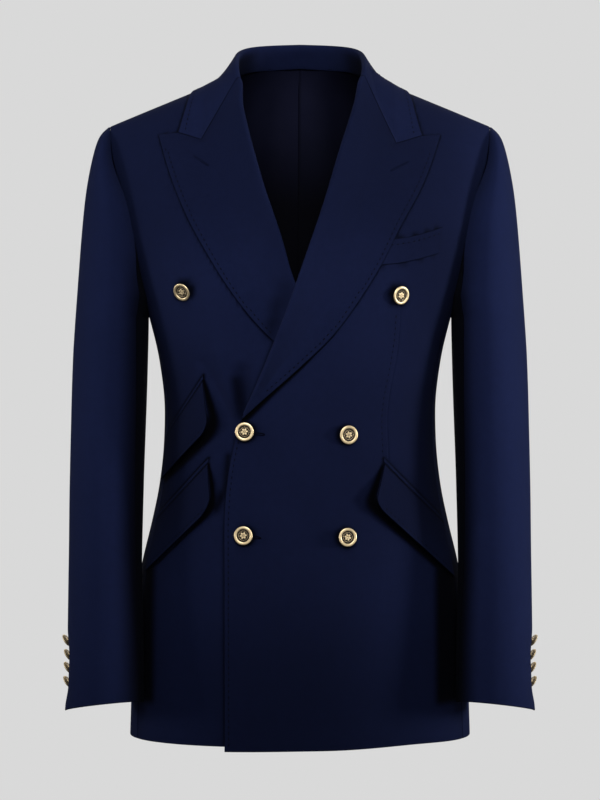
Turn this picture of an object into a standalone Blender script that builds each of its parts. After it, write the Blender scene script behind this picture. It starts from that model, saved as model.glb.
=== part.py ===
"""Double breasted blazer with peak lapels, standing as if worn, hollow, with no wearer.

Blender 4.5, metres, +Z up. The front faces -Y and the wearer's left side is +X. The origin is
at the centre of the neck opening, level with the side of the neck. The torso is one smooth
form: a table of cross-sections below the armpit, closed over the shoulders above it. Every
panel is a grid of points on that form, and what lies on a panel is the same form moved out.
"""
from collections import namedtuple

import bpy
import numpy as np
from mathutils import Matrix, Vector

COLLECTION = "double_breasted_blazer"

# ------------------------------------------------------------------ driving sizes
WALL = 0.0016             # one layer of cloth with its interlining
THIN_WALL = 0.0012        # lining, jets and the welt
SEAM_GAP = 0.0003         # half of the space left at a seam
SLEEVE_SEAM_GAP = 0.0005
SIDE_GAP_SHARE = 1.4      # a side panel's gap, in seam gaps
LAYER_GAP = 0.0010        # space between a panel and what lies on it
OVER_LIFT = 0.0063        # how far the over front lies outside the under front
OVER_LIFT_ENDS = (0.02, 0.12)   # across: full lift inside the first, none outside the second
ROLL_HUMP = 0.0030        # extra lift along the roll line
HEM_Z = -0.739            # lowest, at the back
SIDE_HEM_Z = -0.7353      # at the seams between the fronts and the side panels
ARMPIT_Z = -0.268         # the form closes over the shoulders above this height
PIT_Z = -0.272            # lowest point of the armhole
PIT_RISE = 0.022          # armhole bottom, from its lowest point to the side seams
PIT_POWER = 2.5           # squareness of the armhole's bottom
SHOULDER_TIP = (0.2117, -0.0605)
RIDGE_SLOPE = 0.407       # fall of the shoulder seam for each metre across
RIDGE_BEND_X = 0.115      # nearer to the neck than this the seam curves upwards
RIDGE_BEND = 8.0          # change of its slope for each metre
NECK_X = 0.078            # where the shoulder seam meets the collar
BACK_NECK_SHARE = 0.667   # depth of the neck at the centre back, as a share of the back depth
RING_POWER = 2.4          # squareness of the cross-sections
FRONT_CLOSE = 2.2         # roundness of the shoulder towards the front
BACK_CLOSE = 2.6          # and towards the back
LINING_INSET = 0.0024
LINING_HEM_Z = -0.712

BodyRow = namedtuple("BodyRow", "height half_width front_depth back_depth")
BODY = (
    BodyRow(-0.739, 0.1880, 0.130, 0.118),
    BodyRow(-0.620, 0.1840, 0.130, 0.118),
    BodyRow(-0.553, 0.1760, 0.128, 0.117),
    BodyRow(-0.500, 0.1635, 0.126, 0.112),
    BodyRow(-0.455, 0.1545, 0.124, 0.104),
    BodyRow(-0.410, 0.1500, 0.122, 0.097),
    BodyRow(-0.376, 0.1492, 0.121, 0.094),
    BodyRow(-0.320, 0.1553, 0.121, 0.097),
    BodyRow(-0.275, 0.1660, 0.122, 0.104),
    BodyRow(-0.200, 0.1870, 0.122, 0.112),
    BodyRow(-0.160, 0.1980, 0.120, 0.117),
    BodyRow(-0.128, 0.2065, 0.117, 0.119),
    BodyRow(-0.099, 0.2130, 0.114, 0.120),
    BodyRow(-0.060, 0.2190, 0.110, 0.120),
    BodyRow(0.000, 0.2220, 0.107, 0.120),
    BodyRow(0.070, 0.2230, 0.105, 0.120),
)

# Height at which the back would close inside the neck, where it rises past the shoulder seam.
CloseRow = namedtuple("CloseRow", "across height")
BACK_CLOSURE = (
    CloseRow(0.000, 0.0640),
    CloseRow(0.030, 0.0475),
    CloseRow(0.060, 0.0155),
    CloseRow(0.072, 0.0040),
    CloseRow(0.078, -0.0006),
)

# Seams between the front, side and back, as degrees round from the centre front.
SeamRow = namedtuple("SeamRow", "height front_deg back_deg")
SEAMS = (
    SeamRow(-0.739, 72.0, 112.0),
    SeamRow(-0.420, 72.0, 112.0),
    SeamRow(-0.330, 74.0, 110.0),
    SeamRow(-0.280, 77.0, 106.0),
    SeamRow(-0.243, 78.0, 104.0),
    SeamRow(-0.200, 75.3, 104.5),
    SeamRow(-0.160, 74.6, 105.0),
    SeamRow(-0.127, 76.8, 103.5),
    SeamRow(-0.097, 79.5, 101.5),
    SeamRow(-0.060, 79.6, 100.4),
)

# Inner edge of each front: front edge, then roll line, then neck. Across is positive on the
# front's own side of the body.
EdgeRow = namedtuple("EdgeRow", "height across")
OVER_EDGE = (
    EdgeRow(-0.7390, -0.0786),
    EdgeRow(-0.5034, -0.0788),
    EdgeRow(-0.4400, -0.0757),
    EdgeRow(-0.4076, -0.0682),
    EdgeRow(-0.3756, -0.0586),
    EdgeRow(-0.3490, -0.0479),
    EdgeRow(-0.2673, -0.0181),
    EdgeRow(-0.2162, 0.0000),
    EdgeRow(-0.1571, 0.0213),
    EdgeRow(-0.0962, 0.0409),
    EdgeRow(-0.0618, 0.0541),
    EdgeRow(-0.0135, 0.0630),
    EdgeRow(-0.0006, 0.0780),
)
UNDER_EDGE = (
    EdgeRow(-0.7390, -0.0786),
    EdgeRow(-0.5034, -0.0788),
    EdgeRow(-0.4400, -0.0757),
    EdgeRow(-0.4076, -0.0682),
    EdgeRow(-0.3490, -0.0440),
    EdgeRow(-0.2673, -0.0100),
    EdgeRow(-0.2289, 0.0053),
    EdgeRow(-0.1946, 0.0160),
    EdgeRow(-0.1293, 0.0375),
    EdgeRow(-0.0614, 0.0542),
    EdgeRow(-0.0125, 0.0630),
    EdgeRow(-0.0006, 0.0780),
)
OVER_LAPEL = (
    EdgeRow(-0.3863, -0.0600),
    EdgeRow(-0.3607, -0.0330),
    EdgeRow(-0.3310, 0.0000),
    EdgeRow(-0.2959, 0.0351),
    EdgeRow(-0.2511, 0.0670),
    EdgeRow(-0.2178, 0.0874),
    EdgeRow(-0.1788, 0.1070),
    EdgeRow(-0.1410, 0.1280),
    EdgeRow(-0.1173, 0.1384),
    EdgeRow(-0.0762, 0.1527),
)
UNDER_LAPEL = (
    EdgeRow(-0.3200, 0.0090),
    EdgeRow(-0.2905, 0.0404),
    EdgeRow(-0.2723, 0.0565),
    EdgeRow(-0.2380, 0.0811),
    EdgeRow(-0.2001, 0.1039),
    EdgeRow(-0.1694, 0.1204),
    EdgeRow(-0.1213, 0.1402),
    EdgeRow(-0.0755, 0.1543),
)

# Hems of the fronts, which rise from the front edge and meet the side panels lower down.
HemRow = namedtuple("HemRow", "across height")
OVER_HEM = (
    HemRow(-0.0786, -0.7388),
    HemRow(0.0000, -0.7372),
    HemRow(0.0425, -0.7366),
    HemRow(0.0850, -0.7352),
    HemRow(0.1300, -0.7338),
    HemRow(0.1750, SIDE_HEM_Z),
)
UNDER_HEM = (
    HemRow(-0.0786, -0.7335),
    HemRow(0.0850, -0.7342),
    HemRow(0.1500, -0.7347),
    HemRow(0.1750, SIDE_HEM_Z),
)

# What differs between the two fronts. Gorge, notch and peak are (across, height); the peak
# is the top of the lapel's edge, and the notch is where the collar's end leaves the lapel.
# lapel_lift is the lapel's inner face above its front's inner face, more on the left, where
# the lapel covers the welt's end.
Front = namedtuple(
    "Front", "name sign edge lapel lift lapel_lift hem roll_top roll_end gorge notch peak")
LEFT = Front("left", 1.0, OVER_EDGE, OVER_LAPEL, OVER_LIFT, 0.0042, OVER_HEM,
             -0.0135, -0.3790, (0.1039, -0.0870), (0.1329, -0.0777), (0.1527, -0.0762))
RIGHT = Front("right", -1.0, UNDER_EDGE, UNDER_LAPEL, 0.0, 0.0026, UNDER_HEM,
              -0.0125, -0.2600, (0.1096, -0.0817), (0.1342, -0.0727), (0.1543, -0.0755))
GORGE_SHARE = 0.46        # along the lapel's top edge
NOTCH_SHARE = 0.78
COLLAR_GORGE_SHARE = 0.60  # along the collar's front end
END_GAP = 0.0032          # between the collar's end and the lapel
TOP_FADE = 0.35           # how far down the lapel the shape of its top edge reaches
ROLL_HUMP_REACH = 0.25    # share of the lapel's width
HUMP_FADE = (-0.190, -0.140)    # the under lapel's roll flattens below these heights

# Collar, from the centre back (0) round to its front end (1): roll line, outer edge and the
# seam to the neck, each as across, back and height, and how far the leaf bows outwards.
CollarRow = namedtuple("CollarRow", "share rx ry rz ex ey ez nx ny nz bow")
COLLAR = (
    CollarRow(0.00, 0.0000, 0.0775, 0.0445, 0.0000, 0.0930, -0.006, 0.0000, 0.0758, 0.0135, 0.002),
    CollarRow(0.20, 0.0330, 0.0715, 0.0425, 0.0430, 0.0850, -0.008, 0.0315, 0.0715, 0.0105, 0.002),
    CollarRow(0.40, 0.0565, 0.0475, 0.0365, 0.0820, 0.0520, -0.013, 0.0575, 0.0480, 0.0065, 0.000),
    CollarRow(0.55, 0.0675, 0.0200, 0.0275, 0.1055, 0.0260, -0.0155, 0.0690, 0.0200, 0.000, -0.003),
    CollarRow(0.68, 0.0695, -0.004, 0.0180, 0.1165, -0.004, -0.018, 0.0715, -0.003, -0.0040, -0.004),
    CollarRow(0.84, 0.0670, -0.027, 0.0040, 0.1255, -0.0510, -0.05, 0.0670, -0.026, -0.0095, -0.001),
    CollarRow(1.00, 0.0630, -0.0465, -0.0135, 0.1329, -0.0705, -0.077, 0.0625, -0.044, -0.020, 0.00),
)
COLLAR_CLEAR = 0.0042     # collar's inner face above the form
STAND_INSET = 0.0007      # stand's outer face inside the roll line
STAND_REACH = 0.93        # how far the stand runs towards the front ends
END_REACH = 0.62          # from here on the leaf bends towards the shape of its front end

# Slanted flaps: degrees round from the centre front at the top and bottom of the front edge
# and at the rear end, height of the top front corner, fall of the top edge for each degree,
# and depth at the two ends.
FlapRow = namedtuple("FlapRow", "name side top_deg low_deg end_deg top_z fall depth end_depth")
FLAPS = (
    FlapRow("flap_left", "left", 38.0, 34.6, 80.0, -0.4270, 0.00246, 0.0620, 0.0620),
    FlapRow("flap_right", "right", 42.7, 41.4, 80.0, -0.4272, 0.00254, 0.0590, 0.0620),
    FlapRow("flap_ticket", "right", 45.0, 43.5, 80.0, -0.3382, 0.00248, 0.0530, 0.0600),
)
JET_WIDTH = 0.0050
FLAP_CLEAR = 0.0012       # flap's inner face above the cloth at its top edge
FLAP_STAND_OFF = 0.0065   # free lower front corner above the cloth
FLAP_REST = 0.0008        # free lower edge above the cloth at the rear end
CORNER_SHARE = 0.13       # rounded lower front corner, as a share of the length
CORNER_LIFT = 0.22        # and of the depth
STAND_OFF_ALONG = 0.7     # how fast the flap comes back to the cloth towards its rear end
STAND_OFF_DOWN = 1.5      # and how its distance grows downwards

# Corners of the curved breast welt: across and height.
WELT_TOP = ((0.0900, -0.1940), (0.1526, -0.1777))
WELT_LOW = ((0.0800, -0.2215), (0.1493, -0.2059))
WELT_SAG = 0.0028
WELT_CLEAR = 0.00045      # welt's inner face above the cloth

# Sleeve below and above the armpit: outermost and innermost reach, centre from front to
# back, half depth, and where its two seams lie, as degrees round from the outermost line.
SleeveRow = namedtuple("SleeveRow", "height outer inner centre half_depth front_deg back_deg")
SLEEVE = (
    SleeveRow(-0.7080, 0.2520, 0.1690, -0.096, 0.0475, 168.0, 42.0),
    SleeveRow(-0.6680, 0.2522, 0.1694, -0.091, 0.0490, 165.0, 43.0),
    SleeveRow(-0.6260, 0.2512, 0.1700, -0.085, 0.0505, 160.0, 47.0),
    SleeveRow(-0.5400, 0.2513, 0.1728, -0.071, 0.0540, 152.0, 60.0),
    SleeveRow(-0.4530, 0.2523, 0.1722, -0.050, 0.0580, 146.0, 77.0),
    SleeveRow(-0.3650, 0.2525, 0.1706, -0.028, 0.0620, 142.0, 94.0),
    SleeveRow(-0.3206, 0.2520, 0.1700, -0.018, 0.0650, 140.0, 106.0),
    SleeveRow(-0.2720, 0.2498, 0.1696, -0.010, 0.0675, 138.0, 116.0),
    SleeveRow(-0.2310, 0.2472, 0.1720, -0.006, 0.0670, 138.0, 122.0),
    SleeveRow(-0.1860, 0.2440, 0.1800, -0.004, 0.0640, 138.0, 128.0),
    SleeveRow(-0.1410, 0.2397, 0.1900, -0.003, 0.0580, 138.0, 130.0),
    SleeveRow(-0.1186, 0.2363, 0.1970, -0.002, 0.0520, 138.0, 130.0),
    SleeveRow(-0.0962, 0.2318, 0.2020, -0.001, 0.0425, 138.0, 130.0),
    SleeveRow(-0.0800, 0.2278, 0.2070, 0.0000, 0.0320, 138.0, 130.0),
    SleeveRow(-0.0700, 0.2240, 0.2095, 0.0000, 0.0210, 138.0, 130.0),
    SleeveRow(-0.0625, 0.2190, 0.2110, 0.0000, 0.0080, 138.0, 130.0),
)
CUFF_Z = -0.697           # middle of the sleeve's slanted hem
CUFF_SLANT = 0.010        # front of the hem above the middle, and back below it
CUFF_OUTER_DROP = 0.002
SLEEVE_TOP_Z = -0.0626
SLEEVE_GAP = 0.0010       # between the sleeve and the armhole
ARM_LIFT = 0.0018         # sleeve's outer face starts this far above the form
ARM_SINE_MAX = 0.985      # keeps the sleeve's edge short of its widest line
ARMHOLE_SEARCH = (-0.274, -0.10, 800)   # heights tried for the under sleeve's top edge

# Front buttons: name, front whose cloth they sit on, across in the frame, height.
ButtonRow = namedtuple("ButtonRow", "name front across height")
BUTTONS = (
    ButtonRow("button_top_right", "right", -0.1280, -0.2488),
    ButtonRow("button_top_left", "left", 0.1082, -0.2515),
    ButtonRow("button_mid_right", "left", -0.0607, -0.3980),
    ButtonRow("button_mid_left", "left", 0.0522, -0.4012),
    ButtonRow("button_low_right", "left", -0.0606, -0.5095),
    ButtonRow("button_low_left", "left", 0.0510, -0.5105),
)
BUTTON_R = 0.0100
CUFF_BUTTON_R = 0.0072
CUFF_BUTTON_HEIGHTS = (-0.6243, -0.6390, -0.6535, -0.6682)
CUFF_BUTTON_DEG = 24.0
CUFF_BUTTON_TILT_DEG = 26.0
CUFF_BUTTON_TURN_DEG = 12.0     # towards the back
BUTTON_SEAT = 0.0003
CUFF_BUTTON_SEAT = 0.0014       # room for the tilted shank

# Turned metal button, as shares of its radius: out from the axis and up from the cloth.
ProfileRow = namedtuple("ProfileRow", "out up")
BUTTON_PROFILE = (
    ProfileRow(0.00, 0.62),
    ProfileRow(0.55, 0.60),
    ProfileRow(0.72, 0.52),
    ProfileRow(0.86, 0.60),
    ProfileRow(1.00, 0.46),
    ProfileRow(0.90, 0.32),
    ProfileRow(0.28, 0.27),
    ProfileRow(0.28, 0.00),
    ProfileRow(0.00, 0.00),
)
BUTTON_STEPS = 20
CUFF_BUTTON_STEPS = 14

# Grid sizes: rows up and columns across.
FRONT_GRID = (12, 7, 11)
BACK_GRID = (12, 7, 8)
SIDE_GRID = (13, 4)
LAPEL_ROWS = 14
LAPEL_SHARES = (0.0, 0.15, 0.32, GORGE_SHARE, 0.62, NOTCH_SHARE, 1.0)
COLLAR_GRID = (6, 13)
STAND_GRID = (3, 11)
FLAP_GRID = (4, 7)
JET_GRID = (2, 7)
WELT_GRID = (2, 6)
TOP_SLEEVE_GRID = (11, 8, 11)
UNDER_SLEEVE_GRID = (11, 4, 7)
SOLVE_STEPS = 30
COLUMN_CROWDING_DEG = 80.0
SLEEVE_HEAD_CROWDING_DEG = 88.0
DEGREE = np.pi / 180.0

CLOTH = ("navy_worsted", (0.0075, 0.0098, 0.0340), 0.85, 0.0)
LINING = ("dark_lining", (0.0035, 0.0040, 0.0120), 0.45, 0.0)
GOLD = ("gold_metal", (0.70, 0.50, 0.22), 0.30, 1.0)


# ------------------------------------------------------------------ reading the tables
def smooth(rows, column, at):
    """Value of a column at the given keys: a smooth curve through the rows with no overshoot."""
    table = np.array([(row[0], getattr(row, column)) for row in rows], dtype=float)
    key, value = table[:, 0], table[:, 1]
    step = np.diff(key)
    rise = np.diff(value) / step
    slope = np.concatenate(([rise[0]], np.zeros(len(key) - 2), [rise[-1]]))
    same = rise[:-1] * rise[1:] > 0
    total = np.where(same, rise[:-1] + rise[1:], 1.0)
    slope[1:-1] = np.where(same, 2.0 * rise[:-1] * rise[1:] / total, 0.0)
    at = np.clip(np.asarray(at, dtype=float), key[0], key[-1])
    i = np.clip(np.searchsorted(key, at) - 1, 0, len(key) - 2)
    u = (at - key[i]) / step[i]
    start = value[i] * (1 + 2 * u) * (1 - u) ** 2 + step[i] * slope[i] * u * (1 - u) ** 2
    end = value[i + 1] * u * u * (3 - 2 * u) - step[i] * slope[i + 1] * u * u * (1 - u)
    return start + end


def blend(a, b, share):
    return a + (b - a) * share


def ease(low, high, at):
    """0 below low, 1 above high and a smooth rise between them."""
    u = np.clip((at - low) / (high - low), 0.0, 1.0)
    return u * u * (3 - 2 * u)


# ------------------------------------------------------------------ the torso's form
def crowded(count, degrees):
    """Shares from 0 to 1 that crowd together towards 1, more so the nearer degrees is to 90."""
    return np.sin(np.linspace(0.0, 1.0, count) * degrees * DEGREE) / np.sin(degrees * DEGREE)


def ridge_height(across):
    """Height of the shoulder seam: a straight line that curves up towards the neck."""
    rise = RIDGE_BEND / 2 * np.maximum(RIDGE_BEND_X - across, 0.0) ** 2
    return SHOULDER_TIP[1] + RIDGE_SLOPE * (SHOULDER_TIP[0] - across) + rise


def close_height(across, back):
    """Height at which the front or the back closes."""
    if back:
        inside = smooth(BACK_CLOSURE, "height", across)
        return np.where(across < NECK_X, inside, ridge_height(across))
    return ridge_height(across)


def close_power(back):
    return BACK_CLOSE if back else FRONT_CLOSE


def depth_at(height, back):
    return smooth(BODY, "back_depth" if back else "front_depth", height)


def wall(across, height, back):
    """Y of the front or back wall. A superellipse across, closed over the shoulder in height:
    depth * (1 - (x/a)^n)^(1/n) * (1 - t^m)^(1/m), t running from the armpit to the ridge."""
    x = np.abs(across)
    side = np.clip(1 - (x / smooth(BODY, "half_width", height)) ** RING_POWER, 0, 1)
    t = np.clip((height - ARMPIT_Z) / (close_height(x, back) - ARMPIT_Z), 0, 1)
    shut = (1 - t ** close_power(back)) ** (1 / close_power(back))
    y = depth_at(height, back) * side ** (1 / RING_POWER) * shut
    return y if back else -y


def ring(degrees, height):
    """Across and y on the form, before it closes, at an angle round from the centre front."""
    angle = degrees * DEGREE
    s, c = np.sin(angle), np.cos(angle)
    a = smooth(BODY, "half_width", height)
    b = np.where(c > 0, depth_at(height, False), depth_at(height, True))
    n = RING_POWER
    radius = ((np.abs(s) / a) ** n + (np.abs(c) / b) ** n) ** (-1 / n)
    return radius * s, -radius * c


def seam_across(column, height):
    """How far across a seam between panels lies."""
    return ring(smooth(SEAMS, column, height), height)[0]


def grid_normals(points):
    """Unit normals of a grid, from its differences both ways, turned to face outwards."""
    along = np.gradient(points, axis=0)
    across = np.gradient(points, axis=1)
    normal = np.cross(across, along)
    length = np.linalg.norm(normal, axis=2, keepdims=True)
    return normal / np.maximum(length, 1e-12)


def form_normals(points, step=0.0004):
    """Outward unit normals of the walls at points on or near them."""
    x, z = points[..., 0], points[..., 2]
    result = np.zeros_like(points)
    for back in (False, True):
        mask = (points[..., 1] > 0) == back
        dx = (wall(x + step, z, back) - wall(x - step, z, back)) / (2 * step)
        dz = (wall(x, z + step, back) - wall(x, z - step, back)) / (2 * step)
        sign = 1.0 if back else -1.0
        normal = np.stack((-dx * sign, np.full_like(dx, sign), -dz * sign), axis=-1)
        normal /= np.linalg.norm(normal, axis=-1, keepdims=True)
        result[mask] = normal[mask]
    return result


def torso_grid(inner, outer, back, hem, low_rows, high_rows, columns, top_share):
    """Grid between two edges given as functions of height. Rows are level below the armpit.
    Above it they follow the closing of the shoulder, so the top row lies on the shoulder
    seam, or on the neck where top_share(x), the part of the depth left there, says so."""
    share = crowded(columns, COLUMN_CROWDING_DEG)
    hem_z = hem(blend(inner(HEM_Z), outer(HEM_Z), share))
    z_low = np.linspace(hem_z, ARMPIT_Z, low_rows, endpoint=False)
    x_low = blend(inner(z_low), outer(z_low), share)
    low = np.stack((x_low, wall(x_low, z_low, back), z_low), axis=-1)
    power = close_power(back)
    turn = np.linspace(0.0, 1.0, high_rows)[:, None]
    z = np.full((high_rows, columns), ARMPIT_Z)
    for _ in range(SOLVE_STEPS):
        x = blend(inner(z), outer(z), share)
        angle = turn * np.arccos(top_share(x, z) ** (power / 2))
        t = np.sin(angle) ** (2 / power)
        z = ARMPIT_Z + t * (close_height(np.abs(x), back) - ARMPIT_Z)
    side = np.clip(1 - (np.abs(x) / smooth(BODY, "half_width", z)) ** RING_POWER, 0, 1)
    y = depth_at(z, back) * side ** (1 / RING_POWER) * np.cos(angle) ** (2 / power)
    high = np.stack((x, y if back else -y, z), axis=-1)
    return np.concatenate((low, high), axis=0)


def ridge_share(x, z):
    """Share of the depth left at the shoulder seam: just the seam's gap."""
    return SEAM_GAP / depth_at(z, False) + 0 * x


def neck_share(x, z):
    """The same at the back: the neck's round opening, then the shoulder seam."""
    neck = 1 - np.clip(np.abs(x) / NECK_X, 0, 1) ** BACK_CLOSE
    return np.maximum(BACK_NECK_SHARE * neck ** (1 / BACK_CLOSE), ridge_share(x, z))


def over_lift(front, across):
    """Lift of a front off the form; across is in the front's own mirrored frame."""
    return front.lift * (1 - ease(OVER_LIFT_ENDS[0], OVER_LIFT_ENDS[1], across))


def press_out(points, clear):
    """Move points that are nearer to the form than clear straight out from it."""
    x, y, z = points[..., 0], points[..., 1], points[..., 2]
    normal = form_normals(points)
    surface = np.where(y > 0, wall(x, z, True), wall(x, z, False))
    distance = (y - surface) * normal[..., 1]
    roof = np.where(y > 0, close_height(np.abs(x), True), close_height(np.abs(x), False))
    push = np.where(z < roof, np.clip(clear - distance, 0, None), 0.0)
    return points + normal * push[..., None]


# ------------------------------------------------------------------ panels
def front_grid(front):
    def inner(z):
        return smooth(front.edge, "across", z)

    def outer(z):
        return seam_across("front_deg", z) - SEAM_GAP

    def hem(x):
        return smooth(front.hem, "height", x)

    low, high, columns = FRONT_GRID
    points = torso_grid(inner, outer, False, hem, low, high, columns, ridge_share)
    lift = over_lift(front, points[..., 0])
    return points + form_normals(points) * lift[..., None]


def back_grid(hem_z):
    def inner(z):
        return SEAM_GAP + 0 * z

    def outer(z):
        return seam_across("back_deg", z) - SEAM_GAP

    def hem(x):
        return hem_z + 0 * x

    low, high, columns = BACK_GRID
    return torso_grid(inner, outer, True, hem, low, high, columns, neck_share)


def lining_grid():
    """The back's own points, moved in."""
    points = back_grid(LINING_HEM_Z)
    moved = points - form_normals(points) * LINING_INSET
    moved[:, 0, 0] = SEAM_GAP
    return moved


def side_grid():
    rows, columns = SIDE_GRID
    share = np.linspace(0.0, 1.0, columns)
    top = PIT_Z + PIT_RISE * np.abs(2 * share - 1) ** PIT_POWER
    hem = blend(SIDE_HEM_Z, HEM_Z, share)
    z = blend(hem, top, np.linspace(0.0, 1.0, rows)[:, None])
    gap = SEAM_GAP / smooth(BODY, "half_width", z) / DEGREE * SIDE_GAP_SHARE
    first = smooth(SEAMS, "front_deg", z) + gap
    last = smooth(SEAMS, "back_deg", z) - gap
    x, y = ring(blend(first, last, share), z)
    return np.stack((x, y, z), axis=-1)


def lapel_plan(front, along, share):
    """Across and height of the lapel's points: straight from the roll line to the edge, with
    the gorge and the peak's top edge shaping the upper rows."""
    roll_z = blend(front.roll_top, front.roll_end, along)
    edge_z = blend(front.peak[1], front.lapel[0].height, along)
    roll = np.stack((smooth(front.edge, "across", roll_z), roll_z), axis=-1)
    edge = np.stack((smooth(front.lapel, "across", edge_z), edge_z), axis=-1)
    plan = roll + (edge - roll) * share[..., None]
    corner = (0.0, GORGE_SHARE, NOTCH_SHARE, 1.0)
    start = (float(smooth(front.edge, "across", front.roll_top)), front.roll_top)
    tops = (start, front.gorge, front.notch, front.peak)
    top = np.stack([np.interp(share[0], corner, [p[k] for p in tops]) for k in (0, 1)], axis=-1)
    fade = np.clip(1 - along / TOP_FADE, 0, 1) ** 2
    return plan + (top - plan[0])[None] * fade[..., None]


def lapel_grid(front):
    along = np.linspace(0.0, 1.0, LAPEL_ROWS)[:, None]
    share = np.array(LAPEL_SHARES)[None, :]
    plan = lapel_plan(front, along, share)
    x, z = plan[..., 0], plan[..., 1]
    points = np.stack((x, wall(x, z, False), z), axis=-1)
    hump = ROLL_HUMP * np.exp(-(share / ROLL_HUMP_REACH) ** 2)
    if front.sign < 0:
        hump = hump * ease(HUMP_FADE[0], HUMP_FADE[1], z)
    lift = over_lift(front, x) + front.lapel_lift + hump
    return points + form_normals(points) * lift[..., None]


def collar_curve(prefix, share):
    return np.stack([smooth(COLLAR, prefix + axis, share) for axis in "xyz"], axis=-1)


def collar_half(front):
    """One half of the turned-down leaf: rows from the roll line to the edge, columns from
    the centre back to the front end, which follows the gorge and then the collar's end."""
    rows, columns = COLLAR_GRID
    down = np.linspace(0.0, 1.0, rows)[:, None]
    share = np.linspace(0.0, 1.0, columns)
    roll = collar_curve("r", share)
    edge = collar_curve("e", share)
    leaf = roll + (edge - roll) * down[..., None]
    leaf_normal = grid_normals(leaf)
    bow = smooth(COLLAR, "bow", share) * np.sin(np.pi * down)
    leaf = leaf + leaf_normal * bow[..., None]
    gorge_y = float(wall(front.gorge[0], front.gorge[1], False)) - COLLAR_CLEAR
    notch_y = float(wall(front.notch[0], front.notch[1], False)) - COLLAR_CLEAR
    gorge = (front.gorge[0] + END_GAP, gorge_y, front.gorge[1] + END_GAP)
    notch = (front.notch[0], notch_y, front.notch[1] + END_GAP)
    corners = (0.0, COLLAR_GORGE_SHARE, 1.0)
    ends = (tuple(roll[-1] + (END_GAP, 0, END_GAP)), gorge, notch)
    end = np.stack([np.interp(down[:, 0], corners, [p[k] for p in ends]) for k in range(3)], -1)
    reach = np.clip((share - END_REACH) / (1 - END_REACH), 0, 1) ** 2
    leaf = leaf + (end - leaf[:, -1])[:, None, :] * reach[None, :, None]
    clear = COLLAR_CLEAR + over_lift(front, leaf[..., 0])
    return press_out(leaf, clear)


def stand_half():
    """One half of the band inside the neck, from its seam up to just below the roll line."""
    rows, columns = STAND_GRID
    up = np.linspace(0.0, 1.0, rows)[:, None]
    share = np.linspace(0.0, STAND_REACH, columns)
    neck = collar_curve("n", share)
    roll = collar_curve("r", share)
    inwards = roll * (-1, -1, 0)
    inwards /= np.linalg.norm(inwards, axis=-1, keepdims=True)
    top = roll + inwards * STAND_INSET - (0, 0, LAYER_GAP)
    return neck + (top - neck) * up[..., None]


def both_halves(left_half, right_half):
    """Join a half on the left with the mirrored half on the right into one grid."""
    mirrored = right_half[:, :0:-1] * (-1, 1, 1)
    return np.concatenate((mirrored, left_half), axis=1)


# ------------------------------------------------------------------ what lies on the fronts
def on_form(degrees, height, lift):
    x, y = ring(degrees, height)
    points = np.stack((x, y, height + 0 * x), axis=-1)
    step = 0.2
    xa, ya = ring(degrees + step, height)
    xb, yb = ring(degrees - step, height)
    flat = np.hypot(xa - xb, ya - yb)
    normal = np.stack(((ya - yb) / flat, -(xa - xb) / flat, 0 * x), axis=-1)
    return points + normal * lift[..., None]


def flap_grid(row, first, last, size, jet):
    """Points of a flap, or of its jet, at shares first to last of the flap's depth."""
    rows, columns = size
    front = LEFT if row.side == "left" else RIGHT
    share = np.linspace(0.0, 1.0, columns)[None, :]
    down = np.linspace(first, last, rows)[:, None]
    start = blend(row.top_deg, row.low_deg, np.maximum(down, 0.0))
    degrees = blend(start, row.end_deg, share)
    depth = blend(row.depth, row.end_depth, share)
    corner = CORNER_LIFT * np.clip(1 - share / CORNER_SHARE, 0, 1) ** 2
    height = row.top_z - row.fall * (degrees - row.top_deg) - depth * (1 - corner) * down
    lift = over_lift(front, ring(degrees, height)[0]) + WALL + FLAP_CLEAR
    if not jet:
        stand_off = blend(FLAP_STAND_OFF, FLAP_REST, share ** STAND_OFF_ALONG)
        lift = lift + stand_off * down ** STAND_OFF_DOWN
    return on_form(degrees, height, lift)


def welt_grid():
    rows, columns = WELT_GRID
    share = np.linspace(0.0, 1.0, columns)[None, :]
    up = np.linspace(0.0, 1.0, rows)[:, None]
    low = [blend(WELT_LOW[0][k], WELT_LOW[1][k], share) for k in (0, 1)]
    top = [blend(WELT_TOP[0][k], WELT_TOP[1][k], share) for k in (0, 1)]
    x = blend(low[0], top[0], up)
    z = blend(low[1], top[1], up) - WELT_SAG * np.sin(np.pi * share)
    points = np.stack((x, wall(x, z, False), z), axis=-1)
    lift = over_lift(LEFT, x) + WALL + WELT_CLEAR
    return points + form_normals(points) * lift[..., None]


# ------------------------------------------------------------------ sleeves
def armhole(height, back):
    """Across and distance from y = 0 of the armhole's edge on the panels' outer face."""
    front_deg = smooth(SEAMS, "front_deg", height)
    back_deg = smooth(SEAMS, "back_deg", height)
    low = np.clip((height - PIT_Z) / PIT_RISE, 0, 1) ** (1 / PIT_POWER)
    middle = (front_deg + back_deg) / 2
    degrees = blend(middle, back_deg if back else front_deg, low)
    x, y = ring(degrees, height)
    t = np.clip((height - ARMPIT_Z) / (close_height(x, back) - ARMPIT_Z), 0, 1)
    shut = (1 - t ** close_power(back)) ** (1 / close_power(back))
    y = y * np.where(height > ARMPIT_Z, shut, 1.0)
    outwards = np.stack((np.sin(degrees * DEGREE), -np.cos(degrees * DEGREE)), axis=-1)
    return x + outwards[..., 0] * ARM_LIFT + SLEEVE_GAP, y + outwards[..., 1] * ARM_LIFT


def arm_limit(height, back):
    """Degrees round from the outermost line at which the sleeve meets the armhole."""
    x, y = armhole(height, back)
    reach = y - smooth(SLEEVE, "centre", height)
    half = smooth(SLEEVE, "half_depth", height)
    sine = np.clip((reach if back else -reach) / half, 0.0, ARM_SINE_MAX)
    limit = 180.0 - np.arcsin(sine) / DEGREE
    return np.where(height < PIT_Z, 180.0, limit)


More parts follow.
